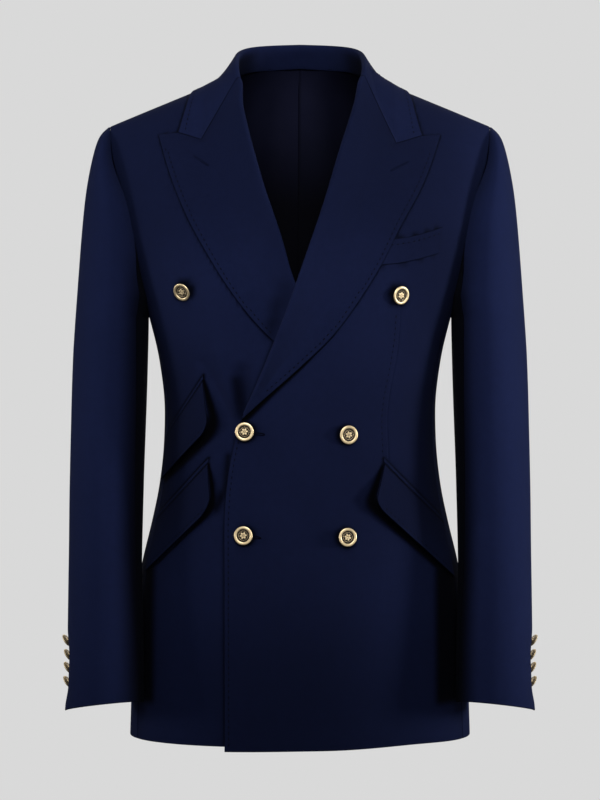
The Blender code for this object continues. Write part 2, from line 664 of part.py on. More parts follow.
def sleeve_point(degrees, height):
    """Point on the sleeve's outer face. Each level cut is half an ellipse on either side of
    the outermost line. Above the armpit each half runs to the armhole, so its width is what
    brings it there: (outer - armhole) / (1 - cos(limit))."""
    back = degrees > 0
    outer = smooth(SLEEVE, "outer", height)
    half = (outer - smooth(SLEEVE, "inner", height)) / 2
    widths = []
    for side in (False, True):
        limit = arm_limit(height, side)
        cap = (outer - armhole(height, side)[0]) / (1 - np.cos(limit * DEGREE))
        widths.append(np.where(height > PIT_Z, cap, half))
    width = np.where(back, widths[1], widths[0])
    x = outer - width * (1 - np.cos(degrees * DEGREE))
    depth = smooth(SLEEVE, "half_depth", height)
    y = smooth(SLEEVE, "centre", height) + depth * np.sin(degrees * DEGREE)
    return np.stack((x, y, height), axis=-1)


def sleeve_inside(degrees, height, turn=0.5, rise=0.001):
    """Point on the sleeve's inner face: the outer face moved in along its own normal, which
    is taken from below, because the form above the armhole's edge is only imaginary."""
    around = sleeve_point(degrees + turn, height) - sleeve_point(degrees - turn, height)
    upward = sleeve_point(degrees, height) - sleeve_point(degrees, height - rise)
    normal = np.cross(around, upward)
    normal /= np.linalg.norm(normal, axis=-1, keepdims=True)
    return sleeve_point(degrees, height) - normal * WALL


def hem_height(degrees):
    """The cuff's hem: higher in front, lower behind."""
    angle = degrees * DEGREE
    return CUFF_Z - CUFF_SLANT * np.sin(angle) - CUFF_OUTER_DROP * np.cos(angle)


def top_sleeve_grid():
    low_rows, high_rows, columns = TOP_SLEEVE_GRID
    share = np.linspace(0.0, 1.0, columns)[None, :]
    low = np.linspace(CUFF_Z, PIT_Z, low_rows, endpoint=False)
    high = blend(PIT_Z, SLEEVE_TOP_Z, crowded(high_rows, SLEEVE_HEAD_CROWDING_DEG))
    level = np.concatenate((low, high))[:, None]
    gap = SLEEVE_SEAM_GAP / smooth(SLEEVE, "half_depth", level) / DEGREE
    first = np.minimum(smooth(SLEEVE, "front_deg", level) - gap, arm_limit(level, False))
    last = np.minimum(smooth(SLEEVE, "back_deg", level) - gap, arm_limit(level, True))
    degrees = blend(-first, last, share)
    down = np.clip((PIT_Z - level) / (PIT_Z - CUFF_Z), 0, 1)
    height = level + (hem_height(degrees) - CUFF_Z) * down
    return sleeve_inside(degrees, height)


def under_sleeve_grid():
    """From the back seam through the inside of the arm to the front seam. Each column ends
    where it runs into the armhole."""
    low_rows, high_rows, columns = UNDER_SLEEVE_GRID
    share = np.linspace(0.0, 1.0, columns)

    def column_degrees(height, share_at):
        gap = SLEEVE_SEAM_GAP / smooth(SLEEVE, "half_depth", height) / DEGREE
        start = smooth(SLEEVE, "back_deg", height) + gap
        end = 360.0 - smooth(SLEEVE, "front_deg", height) - gap
        return blend(start, end, share_at)

    search = np.linspace(*ARMHOLE_SEARCH)[:, None]
    degrees = column_degrees(search, share[None, :])
    behind = degrees > arm_limit(search, True)
    before = 360.0 - degrees > arm_limit(search, False)
    inside = np.where(degrees < 180.0, behind, before)
    top = search[np.argmax(inside, axis=0) - 1, 0]
    low = np.linspace(CUFF_Z, PIT_Z, low_rows, endpoint=False)[:, None]
    base = low[-1, 0]
    up = np.linspace(0.0, 1.0, high_rows + 1)[1:, None]
    level = np.concatenate((low + 0 * top, blend(base, top[None, :], up)))
    degrees = column_degrees(level, share[None, :])
    down = np.clip((PIT_Z - level) / (PIT_Z - CUFF_Z), 0, 1)
    height = level + (hem_height(degrees) - CUFF_Z) * down
    signed = np.where(degrees > 180.0, degrees - 360.0, degrees)
    return sleeve_inside(signed, height)


# ------------------------------------------------------------------ Blender objects
def material(spec):
    name, colour, roughness, metallic = spec
    found = bpy.data.materials.get(name)
    if found:
        return found
    made = bpy.data.materials.new(name)
    made.use_nodes = True
    shader = made.node_tree.nodes["Principled BSDF"]
    shader.inputs["Base Color"].default_value = (*colour, 1.0)
    shader.inputs["Roughness"].default_value = roughness
    shader.inputs["Metallic"].default_value = metallic
    made.diffuse_color = (*colour, 1.0)
    return made


def add_shell(collection, name, points, mirror, thickness, spec):
    """Open sheet on a grid of points, with a wall added by Solidify on the side that the
    sheet faces. mirror puts it on the other side of the body."""
    if mirror:
        points = points * (-1, 1, 1)
    rows, columns = points.shape[:2]
    index = np.arange(rows * columns).reshape(rows, columns)
    quads = np.stack((index[:-1, :-1], index[:-1, 1:], index[1:, 1:], index[1:, :-1]), axis=-1)
    if mirror:
        quads = quads[..., ::-1]
    mesh = bpy.data.meshes.new(name)
    mesh.from_pydata(points.reshape(-1, 3).tolist(), [], quads.reshape(-1, 4).tolist())
    mesh.materials.append(material(spec))
    mesh.shade_smooth()
    made = bpy.data.objects.new(name, mesh)
    collection.objects.link(made)
    solid = made.modifiers.new("wall", "SOLIDIFY")
    solid.thickness = thickness
    solid.offset = 1.0
    return made


def add_button(collection, name, place, axis, radius, steps):
    """Turned metal button: half of its outline with a Screw modifier, set on the cloth."""
    outline = [(row.out * radius, 0.0, row.up * radius) for row in BUTTON_PROFILE]
    mesh = bpy.data.meshes.new(name)
    edges = [(i, i + 1) for i in range(len(outline) - 1)]
    mesh.from_pydata(outline, edges, [])
    mesh.materials.append(material(GOLD))
    made = bpy.data.objects.new(name, mesh)
    collection.objects.link(made)
    screw = made.modifiers.new("turn", "SCREW")
    screw.steps = steps
    screw.render_steps = steps
    screw.use_merge_vertices = True
    screw.merge_threshold = 0.00001
    turn = Vector((0, 0, 1)).rotation_difference(Vector(axis)).to_matrix().to_4x4()
    made.matrix_world = Matrix.Translation(Vector(place)) @ turn
    return made


def add_front_buttons(collection):
    for row in BUTTONS:
        front = LEFT if row.front == "left" else RIGHT
        x = row.across * front.sign
        point = np.array([[x, float(wall(x, row.height, False)), row.height]])
        normal = form_normals(point)[0]
        lift = float(over_lift(front, x)) + WALL + BUTTON_SEAT
        place = (point[0] + normal * lift) * (front.sign, 1, 1)
        axis = normal * (front.sign, 1, 1)
        add_button(collection, row.name, place, axis, BUTTON_R, BUTTON_STEPS)


def add_cuff_buttons(collection):
    tilt = CUFF_BUTTON_TILT_DEG * DEGREE
    turn = CUFF_BUTTON_TURN_DEG * DEGREE
    out = np.array((np.cos(turn), np.sin(turn), 0.0))
    axis = out * np.cos(tilt) - (0.0, 0.0, np.sin(tilt))
    for side, sign in (("left", 1.0), ("right", -1.0)):
        for count, height in enumerate(CUFF_BUTTON_HEIGHTS, start=1):
            point = sleeve_point(np.array(CUFF_BUTTON_DEG), np.array(height))
            place = (point + out * CUFF_BUTTON_SEAT) * (sign, 1, 1)
            name = f"cuff_button_{side}_{count}"
            add_button(collection, name, place, axis * (sign, 1, 1), CUFF_BUTTON_R,
                       CUFF_BUTTON_STEPS)


def add_panels(collection):
    for front in (LEFT, RIGHT):
        mirror = front.sign < 0
        side = front.name
        add_shell(collection, f"front_{side}", front_grid(front), mirror, WALL, CLOTH)
        add_shell(collection, f"lapel_{side}", lapel_grid(front)[::-1], mirror, WALL, CLOTH)
        back = back_grid(HEM_Z)
        add_shell(collection, f"back_{side}", back[:, ::-1], mirror, WALL, CLOTH)
        add_shell(collection, f"side_{side}", side_grid(), mirror, WALL, CLOTH)
        lining = lining_grid()
        add_shell(collection, f"lining_{side}", lining[:, ::-1], mirror, THIN_WALL, LINING)


def add_sleeves(collection):
    for side, mirror in (("left", False), ("right", True)):
        top = top_sleeve_grid()
        under = under_sleeve_grid()
        add_shell(collection, f"sleeve_top_{side}", top, mirror, WALL, CLOTH)
        add_shell(collection, f"sleeve_under_{side}", under, mirror, WALL, CLOTH)


def add_collar(collection):
    fall = both_halves(collar_half(LEFT), collar_half(RIGHT))
    add_shell(collection, "collar_fall", fall, False, WALL, CLOTH)
    half = stand_half()
    stand = both_halves(half, half)
    add_shell(collection, "collar_stand", stand, False, WALL, CLOTH)


def add_pockets(collection):
    for row in FLAPS:
        mirror = row.side == "right"
        flap = flap_grid(row, 0.0, 1.0, FLAP_GRID, False)
        add_shell(collection, row.name, flap[::-1], mirror, WALL, CLOTH)
        gap = SEAM_GAP / row.depth
        jet = flap_grid(row, -JET_WIDTH / row.depth, -2 * gap, JET_GRID, True)
        name = row.name.replace("flap", "jet")
        add_shell(collection, name, jet[::-1], mirror, THIN_WALL, CLOTH)
    add_shell(collection, "welt_left", welt_grid(), False, THIN_WALL, CLOTH)


def main():
    for old in list(bpy.data.objects):
        bpy.data.objects.remove(old, do_unlink=True)
    collection = bpy.data.collections.new(COLLECTION)
    bpy.context.scene.collection.children.link(collection)
    add_panels(collection)
    add_sleeves(collection)
    add_collar(collection)
    add_pockets(collection)
    add_front_buttons(collection)
    add_cuff_buttons(collection)


main()
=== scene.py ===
"""Double breasted blazer in navy worsted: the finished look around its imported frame.

Every piece of cloth is a thin closed sheet on the same torso form as its solid: a table of
cross-sections below the armpit, closed over the shoulders above it. Metres, +Z up, the front
faces -Y and the wearer's left side is +X.
"""
from collections import namedtuple
from functools import lru_cache, partial

import bpy
import numpy as np
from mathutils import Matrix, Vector


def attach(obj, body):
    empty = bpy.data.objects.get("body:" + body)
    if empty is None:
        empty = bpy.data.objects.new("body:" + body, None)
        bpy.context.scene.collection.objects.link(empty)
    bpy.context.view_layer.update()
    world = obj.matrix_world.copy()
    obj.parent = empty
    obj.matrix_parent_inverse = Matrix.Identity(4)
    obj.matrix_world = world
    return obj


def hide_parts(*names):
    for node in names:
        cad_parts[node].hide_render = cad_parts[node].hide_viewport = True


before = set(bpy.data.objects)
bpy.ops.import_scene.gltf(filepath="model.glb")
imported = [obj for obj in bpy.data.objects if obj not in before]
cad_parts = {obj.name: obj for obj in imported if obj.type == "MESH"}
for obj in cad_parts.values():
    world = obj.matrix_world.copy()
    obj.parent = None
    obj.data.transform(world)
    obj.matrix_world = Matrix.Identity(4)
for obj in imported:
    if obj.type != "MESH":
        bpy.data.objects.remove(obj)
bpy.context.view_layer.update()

bl_info = {
    "name": "Double breasted blazer",
    "version": (1, 0, 0),
    "blender": (4, 5, 0),
    "location": "3D View > Sidebar > Blazer",
    "description": "Builds a tailored double breasted blazer and its studio",
    "category": "Add Mesh",
}

DEGREE = np.pi / 180.0
# Thickness of the worsted, of the lining and of the jets and welt.
WALL = 0.0016
LINING_WALL = 0.0009
JET_WALL = 0.0012
# A cut edge rounds over within this share of the thickness, and has painted shade this far in.
EDGE_ROUND = 0.62
EDGE_SHADE_REACH = 0.0012
# Widths of the bell curves that even out the tables, in metres, and in shares for the collar.
SEAM_SOFT = 0.007
EDGE_SOFT = 0.006
HEM_SOFT = 0.010
NECK_SOFT = 0.003
DEPTH_SOFT = 0.012
WIDTH_SOFT = 0.010
COLLAR_SOFT = 0.035
SLEEVE_SOFT = 0.006
SLEEVE_DEPTH_SOFT = 0.004
SAMPLES = 4000
# Distances of a grid's first lines from an edge of the cloth, and the free share past them.
FINE_STEPS = (0.0, 0.00012, 0.0004, 0.0008, 0.0014)
FINE_CLEAR = 1.6

# Grids: a length that places the fine lines, and the number of even ones.
FRONT_TO_DART = (0.17, 78)
DART_TO_SIDE = (0.09, 42)
FRONT_UP = (0.47, 215)
BACK_UP = (0.47, 130)
BACK_ACROSS = (0.2, 56)
LINING_ACROSS = (0.2, 44)
SHOULDER_UP = (0.26, 64)
SIDE_ACROSS = (0.07, 26)
SIDE_UP = (0.46, 140)
LAPEL_DOWN = (0.38, 120)
COLLAR_ALONG = (0.19, 80)
FLAP_ACROSS = (0.08, 48)
FLAP_DOWN = (0.06, 30)
JET_ACROSS = (0.09, 30)
WELT_ACROSS = (0.07, 30)
WELT_UP = (0.027, 14)
TOP_SLEEVE_ROUND = (0.16, 64)
UNDER_SLEEVE_ROUND = (0.12, 44)
SLEEVE_UP = (0.42, 120)
SLEEVE_HEAD = (0.3, 60)
UNDER_SLEEVE_TOP = (0.03, 12)
# Lines of the lapels and the collar inside the fold and round it, and the leaf's first line.
TAIL_STEPS = 6
ROLL_STEPS = 14
LEAF_FIRST = TAIL_STEPS + ROLL_STEPS - 1


def table(columns, *rows):
    """Rows with named columns."""
    return tuple(map(namedtuple("Row", columns)._make, rows))


# ------------------------------------------------------------------ tables of the form
# The shoulders close above ARMPIT_Z. The armhole's lowest point is PIT_Z, and its curve rises
# by PIT_RISE across the side panel.
ARMPIT_Z = -0.268
PIT_Z = -0.272
PIT_RISE = 0.022
PIT_POWER = 2.5
# The shoulder seam runs straight from its tip (across, height) and bends up near the neck.
SHOULDER_TIP = (0.2117, -0.0605)
RIDGE_SLOPE = 0.407
RIDGE_BEND_X = 0.115
RIDGE_BEND = 8.0
RIDGE_GAP = 0.0003
# The neck's half width, and how round the neck, the rings and the shoulders' closing are.
NECK_X = 0.078
BACK_NECK_SHARE = 0.64
NECK_POWER = 1.8
RING_POWER = 2.4
FRONT_CLOSE = 2.2
BACK_CLOSE = 2.6
CLOSE_ROUNDS = 30

BODY = table(
    "height half_width front_depth back_depth",
    (-0.739, 0.188, 0.13, 0.118),
    (-0.62, 0.184, 0.13, 0.118),
    (-0.553, 0.176, 0.128, 0.117),
    (-0.5, 0.1635, 0.126, 0.112),
    (-0.455, 0.1545, 0.124, 0.104),
    (-0.41, 0.15, 0.122, 0.097),
    (-0.376, 0.1492, 0.121, 0.094),
    (-0.32, 0.1553, 0.121, 0.097),
    (-0.275, 0.166, 0.122, 0.104),
    (-0.2, 0.187, 0.122, 0.112),
    (-0.16, 0.198, 0.12, 0.117),
    (-0.128, 0.2065, 0.117, 0.119),
    (-0.099, 0.213, 0.114, 0.12),
    (-0.06, 0.219, 0.11, 0.12),
    (0.0, 0.222, 0.107, 0.12),
    (0.07, 0.223, 0.105, 0.12),
)
BACK_CLOSURE = table(
    "across height",
    (0.0, 0.064),
    (0.03, 0.0475),
    (0.06, 0.0155),
    (0.072, 0.004),
    (0.078, -0.0006),
)
SEAMS = table(
    "height front_deg back_deg",
    (-0.739, 72.0, 112.0),
    (-0.42, 72.0, 112.0),
    (-0.33, 74.0, 110.0),
    (-0.28, 77.0, 106.0),
    (-0.243, 78.0, 104.0),
    (-0.2, 75.3, 104.5),
    (-0.16, 74.6, 105.0),
    (-0.127, 76.8, 103.5),
    (-0.097, 79.5, 101.5),
    (-0.06, 79.6, 100.4),
)
OVER_EDGE = table(
    "height across",
    (-0.739, -0.0786),
    (-0.5034, -0.0788),
    (-0.471, -0.0771),
    (-0.44, -0.0736),
    (-0.4076, -0.0672),
    (-0.3756, -0.0561),
    (-0.349, -0.0446),
    (-0.2673, -0.0128),
    (-0.2162, 0.005),
    (-0.1571, 0.0249),
    (-0.0962, 0.0422),
    (-0.0618, 0.0526),
    (-0.04, 0.0585),
    (-0.0135, 0.063),
    (-0.0006, 0.078),
)
UNDER_EDGE = table(
    "height across",
    (-0.739, -0.0786),
    (-0.5034, -0.0788),
    (-0.471, -0.0771),
    (-0.44, -0.0736),
    (-0.4076, -0.0672),
    (-0.349, -0.044),
    (-0.2673, -0.006),
    (-0.2289, 0.0098),
    (-0.1946, 0.0192),
    (-0.1293, 0.0406),
    (-0.0614, 0.0583),
    (-0.04, 0.0624),
    (-0.0125, 0.063),
    (-0.0006, 0.078),
)
OVER_LAPEL = table(
    "height across",
    (-0.3863, -0.06),
    (-0.3607, -0.033),
    (-0.331, 0.0),
    (-0.2959, 0.0351),
    (-0.2511, 0.067),
    (-0.2178, 0.0874),
    (-0.1788, 0.107),
    (-0.141, 0.128),
    (-0.1173, 0.1384),
    (-0.0762, 0.1527),
)
UNDER_LAPEL = table(
    "height across",
    (-0.32, 0.009),
    (-0.2905, 0.0404),
    (-0.2723, 0.0565),
    (-0.238, 0.0811),
    (-0.2001, 0.1039),
    (-0.1694, 0.1204),
    (-0.1213, 0.1402),
    (-0.0755, 0.1543),
)
SIDE_HEM_Z = -0.7353
HEM_Z = -0.739
OVER_HEM = table(
    "across height",
    (-0.0786, -0.7388),
    (0.0, -0.7372),
    (0.0425, -0.7366),
    (0.085, -0.7352),
    (0.13, -0.7338),
    (0.175, SIDE_HEM_Z),
)
UNDER_HEM = table(
    "across height",
    (-0.0786, -0.7335),
    (0.085, -0.7342),
    (0.15, -0.7347),
    (0.175, SIDE_HEM_Z),
)
# Between these places across, the over front comes down from its lift to the form.
OVER_LIFT_ENDS = (0.02, 0.12)
Front = namedtuple(
    "Front", "name sign edge lapel lift lapel_lift hem roll_top roll_end gorge notch peak gap")
LEFT = Front("left", 1.0, OVER_EDGE, OVER_LAPEL, 0.0066, 0.0036, OVER_HEM,
             -0.0135, -0.379, (0.1028, -0.0895), (0.132, -0.079), (0.1527, -0.0762),
             0.1385)
RIGHT = Front("right", -1.0, UNDER_EDGE, UNDER_LAPEL, 0.0, 0.0026, UNDER_HEM,
              -0.0125, -0.26, (0.1062, -0.0842), (0.1322, -0.0748), (0.1543, -0.0755),
              0.1505)
FRONTS = {"left": LEFT, "right": RIGHT}
# Shares of the lapel's top edge at the gorge and the notch, and of its length that they shape.
# TOP_STEPS are the grid's lines in the three parts between them. LEAF_LINE and LEAF_ROW are
# lines of the lapel's and the collar's leaf, from its edge, that tell which side is out.
GORGE_SHARE = 0.46
NOTCH_SHARE = 0.78
TOP_FADE = 0.35
TOP_STEPS = (18, 14, 12)
TOP_LENGTH = 0.02
LEAF_LINE = -5
LEAF_ROW = -3
# The lapel's fold: how far it stands past the front's edge, the tail inside, and the hump
# beside it, which fades to the lapel's ends and to its outer edge.
ROLL_REACH = 0.0032
ROLL_REACH_SHARE = 0.25
TAIL_LENGTH = 0.013
TAIL_SHARE = 0.7
TAIL_LIFT = -0.0009
LEAF_DROP = 0.0006
ROLL_HUMP = 0.0028
HUMP_WIDTHS = (0.004, 0.05)
HUMP_ALONG = (0.0, 0.16)
HUMP_REACH = 0.24
UNDER_HUMP_Z = (-0.2, -0.13)
# The front's own edge stays back inside the fold, from a little below the fold's end up.
ROLL_SET_BACK = 0.0036
ROLL_SET_BACK_ENDS = (-0.004, 0.03)

COLLAR = table(
    "share rx ry rz ex ey ez nx ny nz bow",
    (0.0, 0.0, 0.0775, 0.0445, 0.0, 0.093, -0.006, 0.0, 0.0727, 0.0162, 0.002),
    (0.2, 0.033, 0.0715, 0.0425, 0.043, 0.085, -0.008, 0.03, 0.068, 0.0136, 0.002),
    (0.4, 0.0565, 0.0475, 0.0365, 0.082, 0.052, -0.014, 0.0545, 0.045, 0.0085, 0.0),
    (0.55, 0.0675, 0.02, 0.0275, 0.105, 0.026, -0.017, 0.069, 0.02, 0.0, -0.0028),
    (0.68, 0.0695, -0.004, 0.018, 0.116, -0.004, -0.0198, 0.0715, -0.003, -0.004, -0.0042),
    (0.84, 0.067, -0.027, 0.004, 0.1255, -0.051, -0.05, 0.067, -0.026, -0.0095, -0.002),
    (1.0, 0.063, -0.0465, -0.0135, 0.1329, -0.0705, -0.077, 0.0625, -0.044, -0.02, 0.0),
)
# The fold's radius, and how the leaf lies: clear of the fronts, and running into the lapels
# over the last shares of its length.
COLLAR_FOLD = 0.0026
LEAF_CLEAR = WALL * 1.5 + 0.0004
LEAF_RISE = 0.3
LEAF_SLACK = 0.0006
ROOF_CLEAR = 1.08
ROOF_ENDS = (0.35, 0.6)
MERGE_ENDS = (0.55, 1.0)
MERGE_POWER = 1.5
FREE_ENDS = (0.9, 1.0)
GORGE_KNOT = 0.6
COLLAR_LEAF_STEPS = (16, 12)
COLLAR_LEAF_END = 0.03
COLLAR_EDGE_STEPS = (60, 6)
TOP_ROWS = (0.0, 0.01)
BAND_LINE = 0.006
SLEEVE = table(
    "height outer inner centre half_depth front_deg back_deg",
    (-0.708, 0.252, 0.169, -0.096, 0.0475, 168.0, 42.0),
    (-0.668, 0.2522, 0.1694, -0.091, 0.049, 165.0, 43.0),
    (-0.626, 0.2512, 0.17, -0.085, 0.0505, 160.0, 47.0),
    (-0.54, 0.2513, 0.1728, -0.071, 0.054, 152.0, 60.0),
    (-0.453, 0.2523, 0.1722, -0.05, 0.058, 146.0, 77.0),
    (-0.365, 0.2525, 0.1706, -0.028, 0.062, 142.0, 94.0),
    (-0.3206, 0.252, 0.17, -0.018, 0.065, 140.0, 106.0),
    (-0.272, 0.2498, 0.1696, -0.01, 0.0675, 138.0, 116.0),
    (-0.231, 0.2472, 0.172, -0.006, 0.067, 138.0, 122.0),
    (-0.186, 0.244, 0.18, -0.004, 0.064, 138.0, 128.0),
    (-0.141, 0.2397, 0.19, -0.003, 0.058, 138.0, 130.0),
    (-0.1186, 0.2363, 0.197, -0.002, 0.052, 138.0, 130.0),
    (-0.0962, 0.2318, 0.202, -0.001, 0.0425, 138.0, 130.0),
    (-0.08, 0.2278, 0.207, 0.0, 0.032, 138.0, 130.0),
    (-0.07, 0.224, 0.2095, 0.0, 0.021, 138.0, 130.0),
    (-0.0625, 0.219, 0.212, 0.0, 0.008, 138.0, 130.0),
    (-0.06, 0.2143, 0.213, 0.0, 0.0005, 138.0, 130.0),
)
# The sleeve's grid ends at CUFF_Z. The cuff's hem is slanted, in front and behind.
CUFF_Z = -0.697
CUFF_HEM_Z = -0.695
CUFF_SLANTS = (0.008, 0.003)
CUFF_OUTER_DROP = 0.0045
SLEEVE_TOP_Z = -0.0601
SLEEVE_HEAD_TURN = 88 * DEGREE
# The sleeve's widest reach from its middle, as a sine, where it meets the armhole.
ARM_SINE = 0.985
CAP_BLEND = (-0.002, 0.004)
UNDER_SEARCH = (PIT_Z - 0.002, -0.1, 1600)
# The cuff is pinched above its buttons and opens below them, round this angle.
PINCH_TOP = (-0.61, -0.646)
PINCH_LOW = (-0.668, -0.694)
PINCH_DEPTH = 0.004
VENT_LOW = (-0.68, -0.712)
VENT_LIFT = 0.0018
VENT_DEG = 8
VENT_SPREAD_DEG = 30

# ------------------------------------------------------------------ details on the form
DART = table(
    "height across",
    (-0.739, 0.0935),
    (-0.4229, 0.0932),
    (-0.3822, 0.0922),
    (-0.3543, 0.0955),
    (-0.3285, 0.1009),
    (-0.3006, 0.1052),
    (-0.2642, 0.1072),
    (0.02, 0.1085),
)
DART_ENDS = (-0.429, -0.264)
DART_FADES = (0.002, 0.006)
DART_GROOVE = 0.0006
DART_GROOVE_WIDTH = 0.0007

# Soft creases: the two ends of each across and up, half width, depth (out is positive).
RIGHT_CREASES = table(
    "x0 z0 x1 z1 width depth",
    (0.105, -0.325, 0.064, -0.396, 0.006, -0.0016),
    (0.086, -0.315, 0.066, -0.388, 0.0085, 0.0032),
    (0.061, -0.335, 0.059, -0.385, 0.008, -0.0045),
    (0.085, -0.52, 0.095, -0.58, 0.016, -0.0016),
    (0.125, -0.415, 0.09, -0.435, 0.01, 0.0012),
)
LEFT_CREASES = table(
    "x0 z0 x1 z1 width depth",
    (0.03, -0.41, 0.1, -0.43, 0.018, 0.0009),
    (0.13, -0.33, 0.12, -0.41, 0.014, -0.0014),
    (-0.04, -0.43, 0.06, -0.56, 0.022, -0.001),
    (0.115, -0.23, 0.145, -0.3, 0.016, -0.0012),
)
# Pocket flaps: their corners, the cut's area, how far the lower front corner stands off, its
# rounding in shares of the flap, and the half width of the shade at four places round it.
FLAPS = table(
    "name side front_top rear_top front_low rear_low area stand_off corner bands",
    ("flap_left", "left", (0.0888, -0.4326), (0.1545, -0.4987),
     (0.0742, -0.4762), (0.164, -0.5584), 0.0056, 0.0115, (0.13, 0.19),
     (0.0018, 0.009, 0.0048, 0.0036)),
    ("flap_right", "right", (0.0976, -0.4327), (0.1545, -0.4955),
     (0.0908, -0.4797), (0.164, -0.5524), 0.0047, 0.006, (0.2, 0.27),
     (0.0018, 0.0056, 0.0014, 0.001)),
    ("flap_ticket", "right", (0.1032, -0.3436), (0.144, -0.4048),
     (0.0896, -0.3935), (0.1475, -0.4529), 0.0035, 0.0115, (0.2, 0.27),
     (0.0022, 0.0084, 0.0068, 0.0028)),
)
# OUTLINE numbers the points of a flap's outline where the bands of shade meet.
OUTLINE = (0, 7, 11, 13)
EDGE_POINTS = 5
CORNER_STEPS = 7
LOW_EDGE_SHARES = (0.4, 0.7, 1.0)
REAR_STAND_OFF = 0.0022
STAND_OFF_POWERS = (0.8, 1.3)
FLAP_CROWN = 0.0012
FLAP_LIFT = WALL * 1.5 + 0.0006
JET_WIDTH = 0.0052
JET_UP = (JET_WIDTH, 5)
JET_FRONT_SHARE = -0.02
JET_SEAT = 0.3
JET_CROWN = 0.3
WELT_TOP = ((0.09, -0.194), (0.1526, -0.1777))
WELT_LOW = ((0.08, -0.2215), (0.1493, -0.2059))
WELT_SAG = 0.0028
WELT_SEAT = JET_WALL * 0.4
WELT_LEAN = 0.0007
WELT_SHADE_POINTS = 7
# Broad soft shade on the fronts: its middle, its reach across and up, and how dark it is.
SOFT_SHADES = table(
    "front x z reach_x reach_z strength",
    ("both", 0.1, -0.1, 0.15, 0.1, 0.31),
    ("left", 0.11, -0.16, 0.08, 0.14, 0.2),
    ("left", 0.16, -0.25, 0.05, 0.07, 0.28),
    ("both", 0.145, -0.42, 0.05, 0.11, 0.44),
    ("left", 0.07, -0.42, 0.06, 0.12, 0.16),
    ("both", 0.0, -0.54, 0.15, 0.24, 0.22),
    ("both", 0.0, -0.74, 0.15, 0.16, 0.35),
    ("right", 0.0165, -0.252, 0.009, 0.016, 0.3),
    ("right", 0.0255, -0.272, 0.009, 0.016, 0.45),
    ("right", 0.031, -0.291, 0.008, 0.012, 0.45),
    ("right", 0.061, -0.354, 0.01, 0.022, 0.42),
)
# A band of painted shade along a line on the cloth: its half width at the line's start and
# at its end, how dark it is, and the power of the bell curve across it.
Band = namedtuple("Band", "first last strength power")
JET_BAND = Band(0.0022, 0.0022, 0.95, 4)
LAPEL_BAND = Band(0.0022, 0.0018, 0.75, 4)
NOTCH_BAND = Band(0.0022, 0.0018, 0.85, 4)
COLLAR_BAND = Band(0.002, 0.002, 0.8, 4)
OVER_BAND = Band(0.0034, 0.0034, 0.75, 2)
FOLD_BAND = Band(0.0052, 0.0018, 1.0, 4)
WELT_BANDS = (
    (WELT_LOW, Band(0.0018, 0.0014, 0.6, 4)),
    (WELT_TOP, Band(0.0018, 0.0014, 0.8, 4)),
)
# Painted shade on the under front: a hollow beside the over lapel, and a fold from the over front's
# edge to the flap's corner.
UNDER_FOLDS = (
    (((0.068, -0.345), (0.062, -0.379)), Band(0.006, 0.0085, 0.68, 2)),
    (((0.0765, -0.425), (0.079, -0.46), (0.09, -0.48)), Band(0.004, 0.007, 0.8, 2)),
)
FLAP_SHADE = 1.0
FLAP_SHADE_POWER = 4
OVER_EDGE_SHADED = -0.01
FOLD_POINTS = 4
# Painted shade round a button: its reach from the button's middle, its softness and its strength.
BUTTON_SHADE_START = 0.009
BUTTON_SHADE_REACH = 0.0032
BUTTON_SHADE = 0.9
# Painted shade of the gap beside a sleeve: between these heights it comes and goes.
GAP_TOP = (-0.515, -0.555)
GAP_LOW = (-0.688, -0.702)
GAP_WIDTH = 0.0125
GAP_SHADE = 0.98
LAPEL_HOLES = table(
    "front x0 z0 x1 z1 width",
    ("left", 0.0983, -0.1171, 0.1175, -0.1086, 0.0016),
    ("right", 0.1154, -0.1011, 0.0983, -0.1118, 0.0016),
)
FRONT_HOLES = table(
    "front x0 z0 x1 z1 width",
    ("left", -0.06, -0.399, -0.0386, -0.401, 0.0022),
    ("left", -0.06, -0.5095, -0.0425, -0.511, 0.0022),
)

BUTTONS = table(
    "name front across height lean_x lean_z",
    ("button_top_right", "right", -0.1243, -0.2472, 0.02, -0.36),
    ("button_top_left", "left", 0.1051, -0.2521, 0.2, -0.17),
    ("button_mid_right", "left", -0.0568, -0.399, 0.12, -0.04),
    ("button_mid_left", "left", 0.0492, -0.4022, 0.16, -0.06),
    ("button_low_right", "left", -0.058, -0.5092, 0.04, -0.05),
    ("button_low_left", "left", 0.0484, -0.5109, 0.14, -0.02),
)
CUFF_BUTTON_HEIGHTS = (-0.6217, -0.637, -0.6505, -0.6655)
CUFF_BUTTON_DEG = 9.0
CUFF_BUTTON_TILT_DEG = 32.0
CUFF_BUTTON_TURN_DEG = 17.0
CUFF_BUTTON_SEAT = 0.0022

# Soft boxes, some with a grid that narrows their spread (degrees).
LAMPS = table(
    "name place target size spread power",
    ("front_key", (0.0, -1.5, 0.32), (0.0, -0.1, -0.16), (0.8, 0.5), 66.0, 3.45),
    ("top_key", (0.0, -0.9, 0.95), (0.0, -0.1, -0.25), (0.6, 0.25), 110.0, 1.7),
    ("left_strip", (-1.6, -0.35, -0.2), (-0.24, -0.05, -0.33), (0.3, 0.9), 24.0, 0.56),
    ("right_strip", (1.6, -0.35, -0.2), (0.24, -0.05, -0.33), (0.3, 0.9), 24.0, 1.35),
    ("left_sleeve", (-0.62, -1.45, -0.3), (-0.26, -0.05, -0.34), (0.04, 0.8), 4.0, 0.01),
    ("right_sleeve", (0.62, -1.45, -0.3), (0.222, -0.05, -0.34), (0.04, 0.8), 4.0, 0.058),
    ("low_fill", (0.0, -1.6, -0.75), (0.0, -0.1, -0.55), (2.4, 0.3), 90.0, 0.9),
    ("back_fill", (0.0, 2.4, 1.0), (0.0, 0.0, -0.3), (1.6, 1.6), 180.0, 20.0),
)

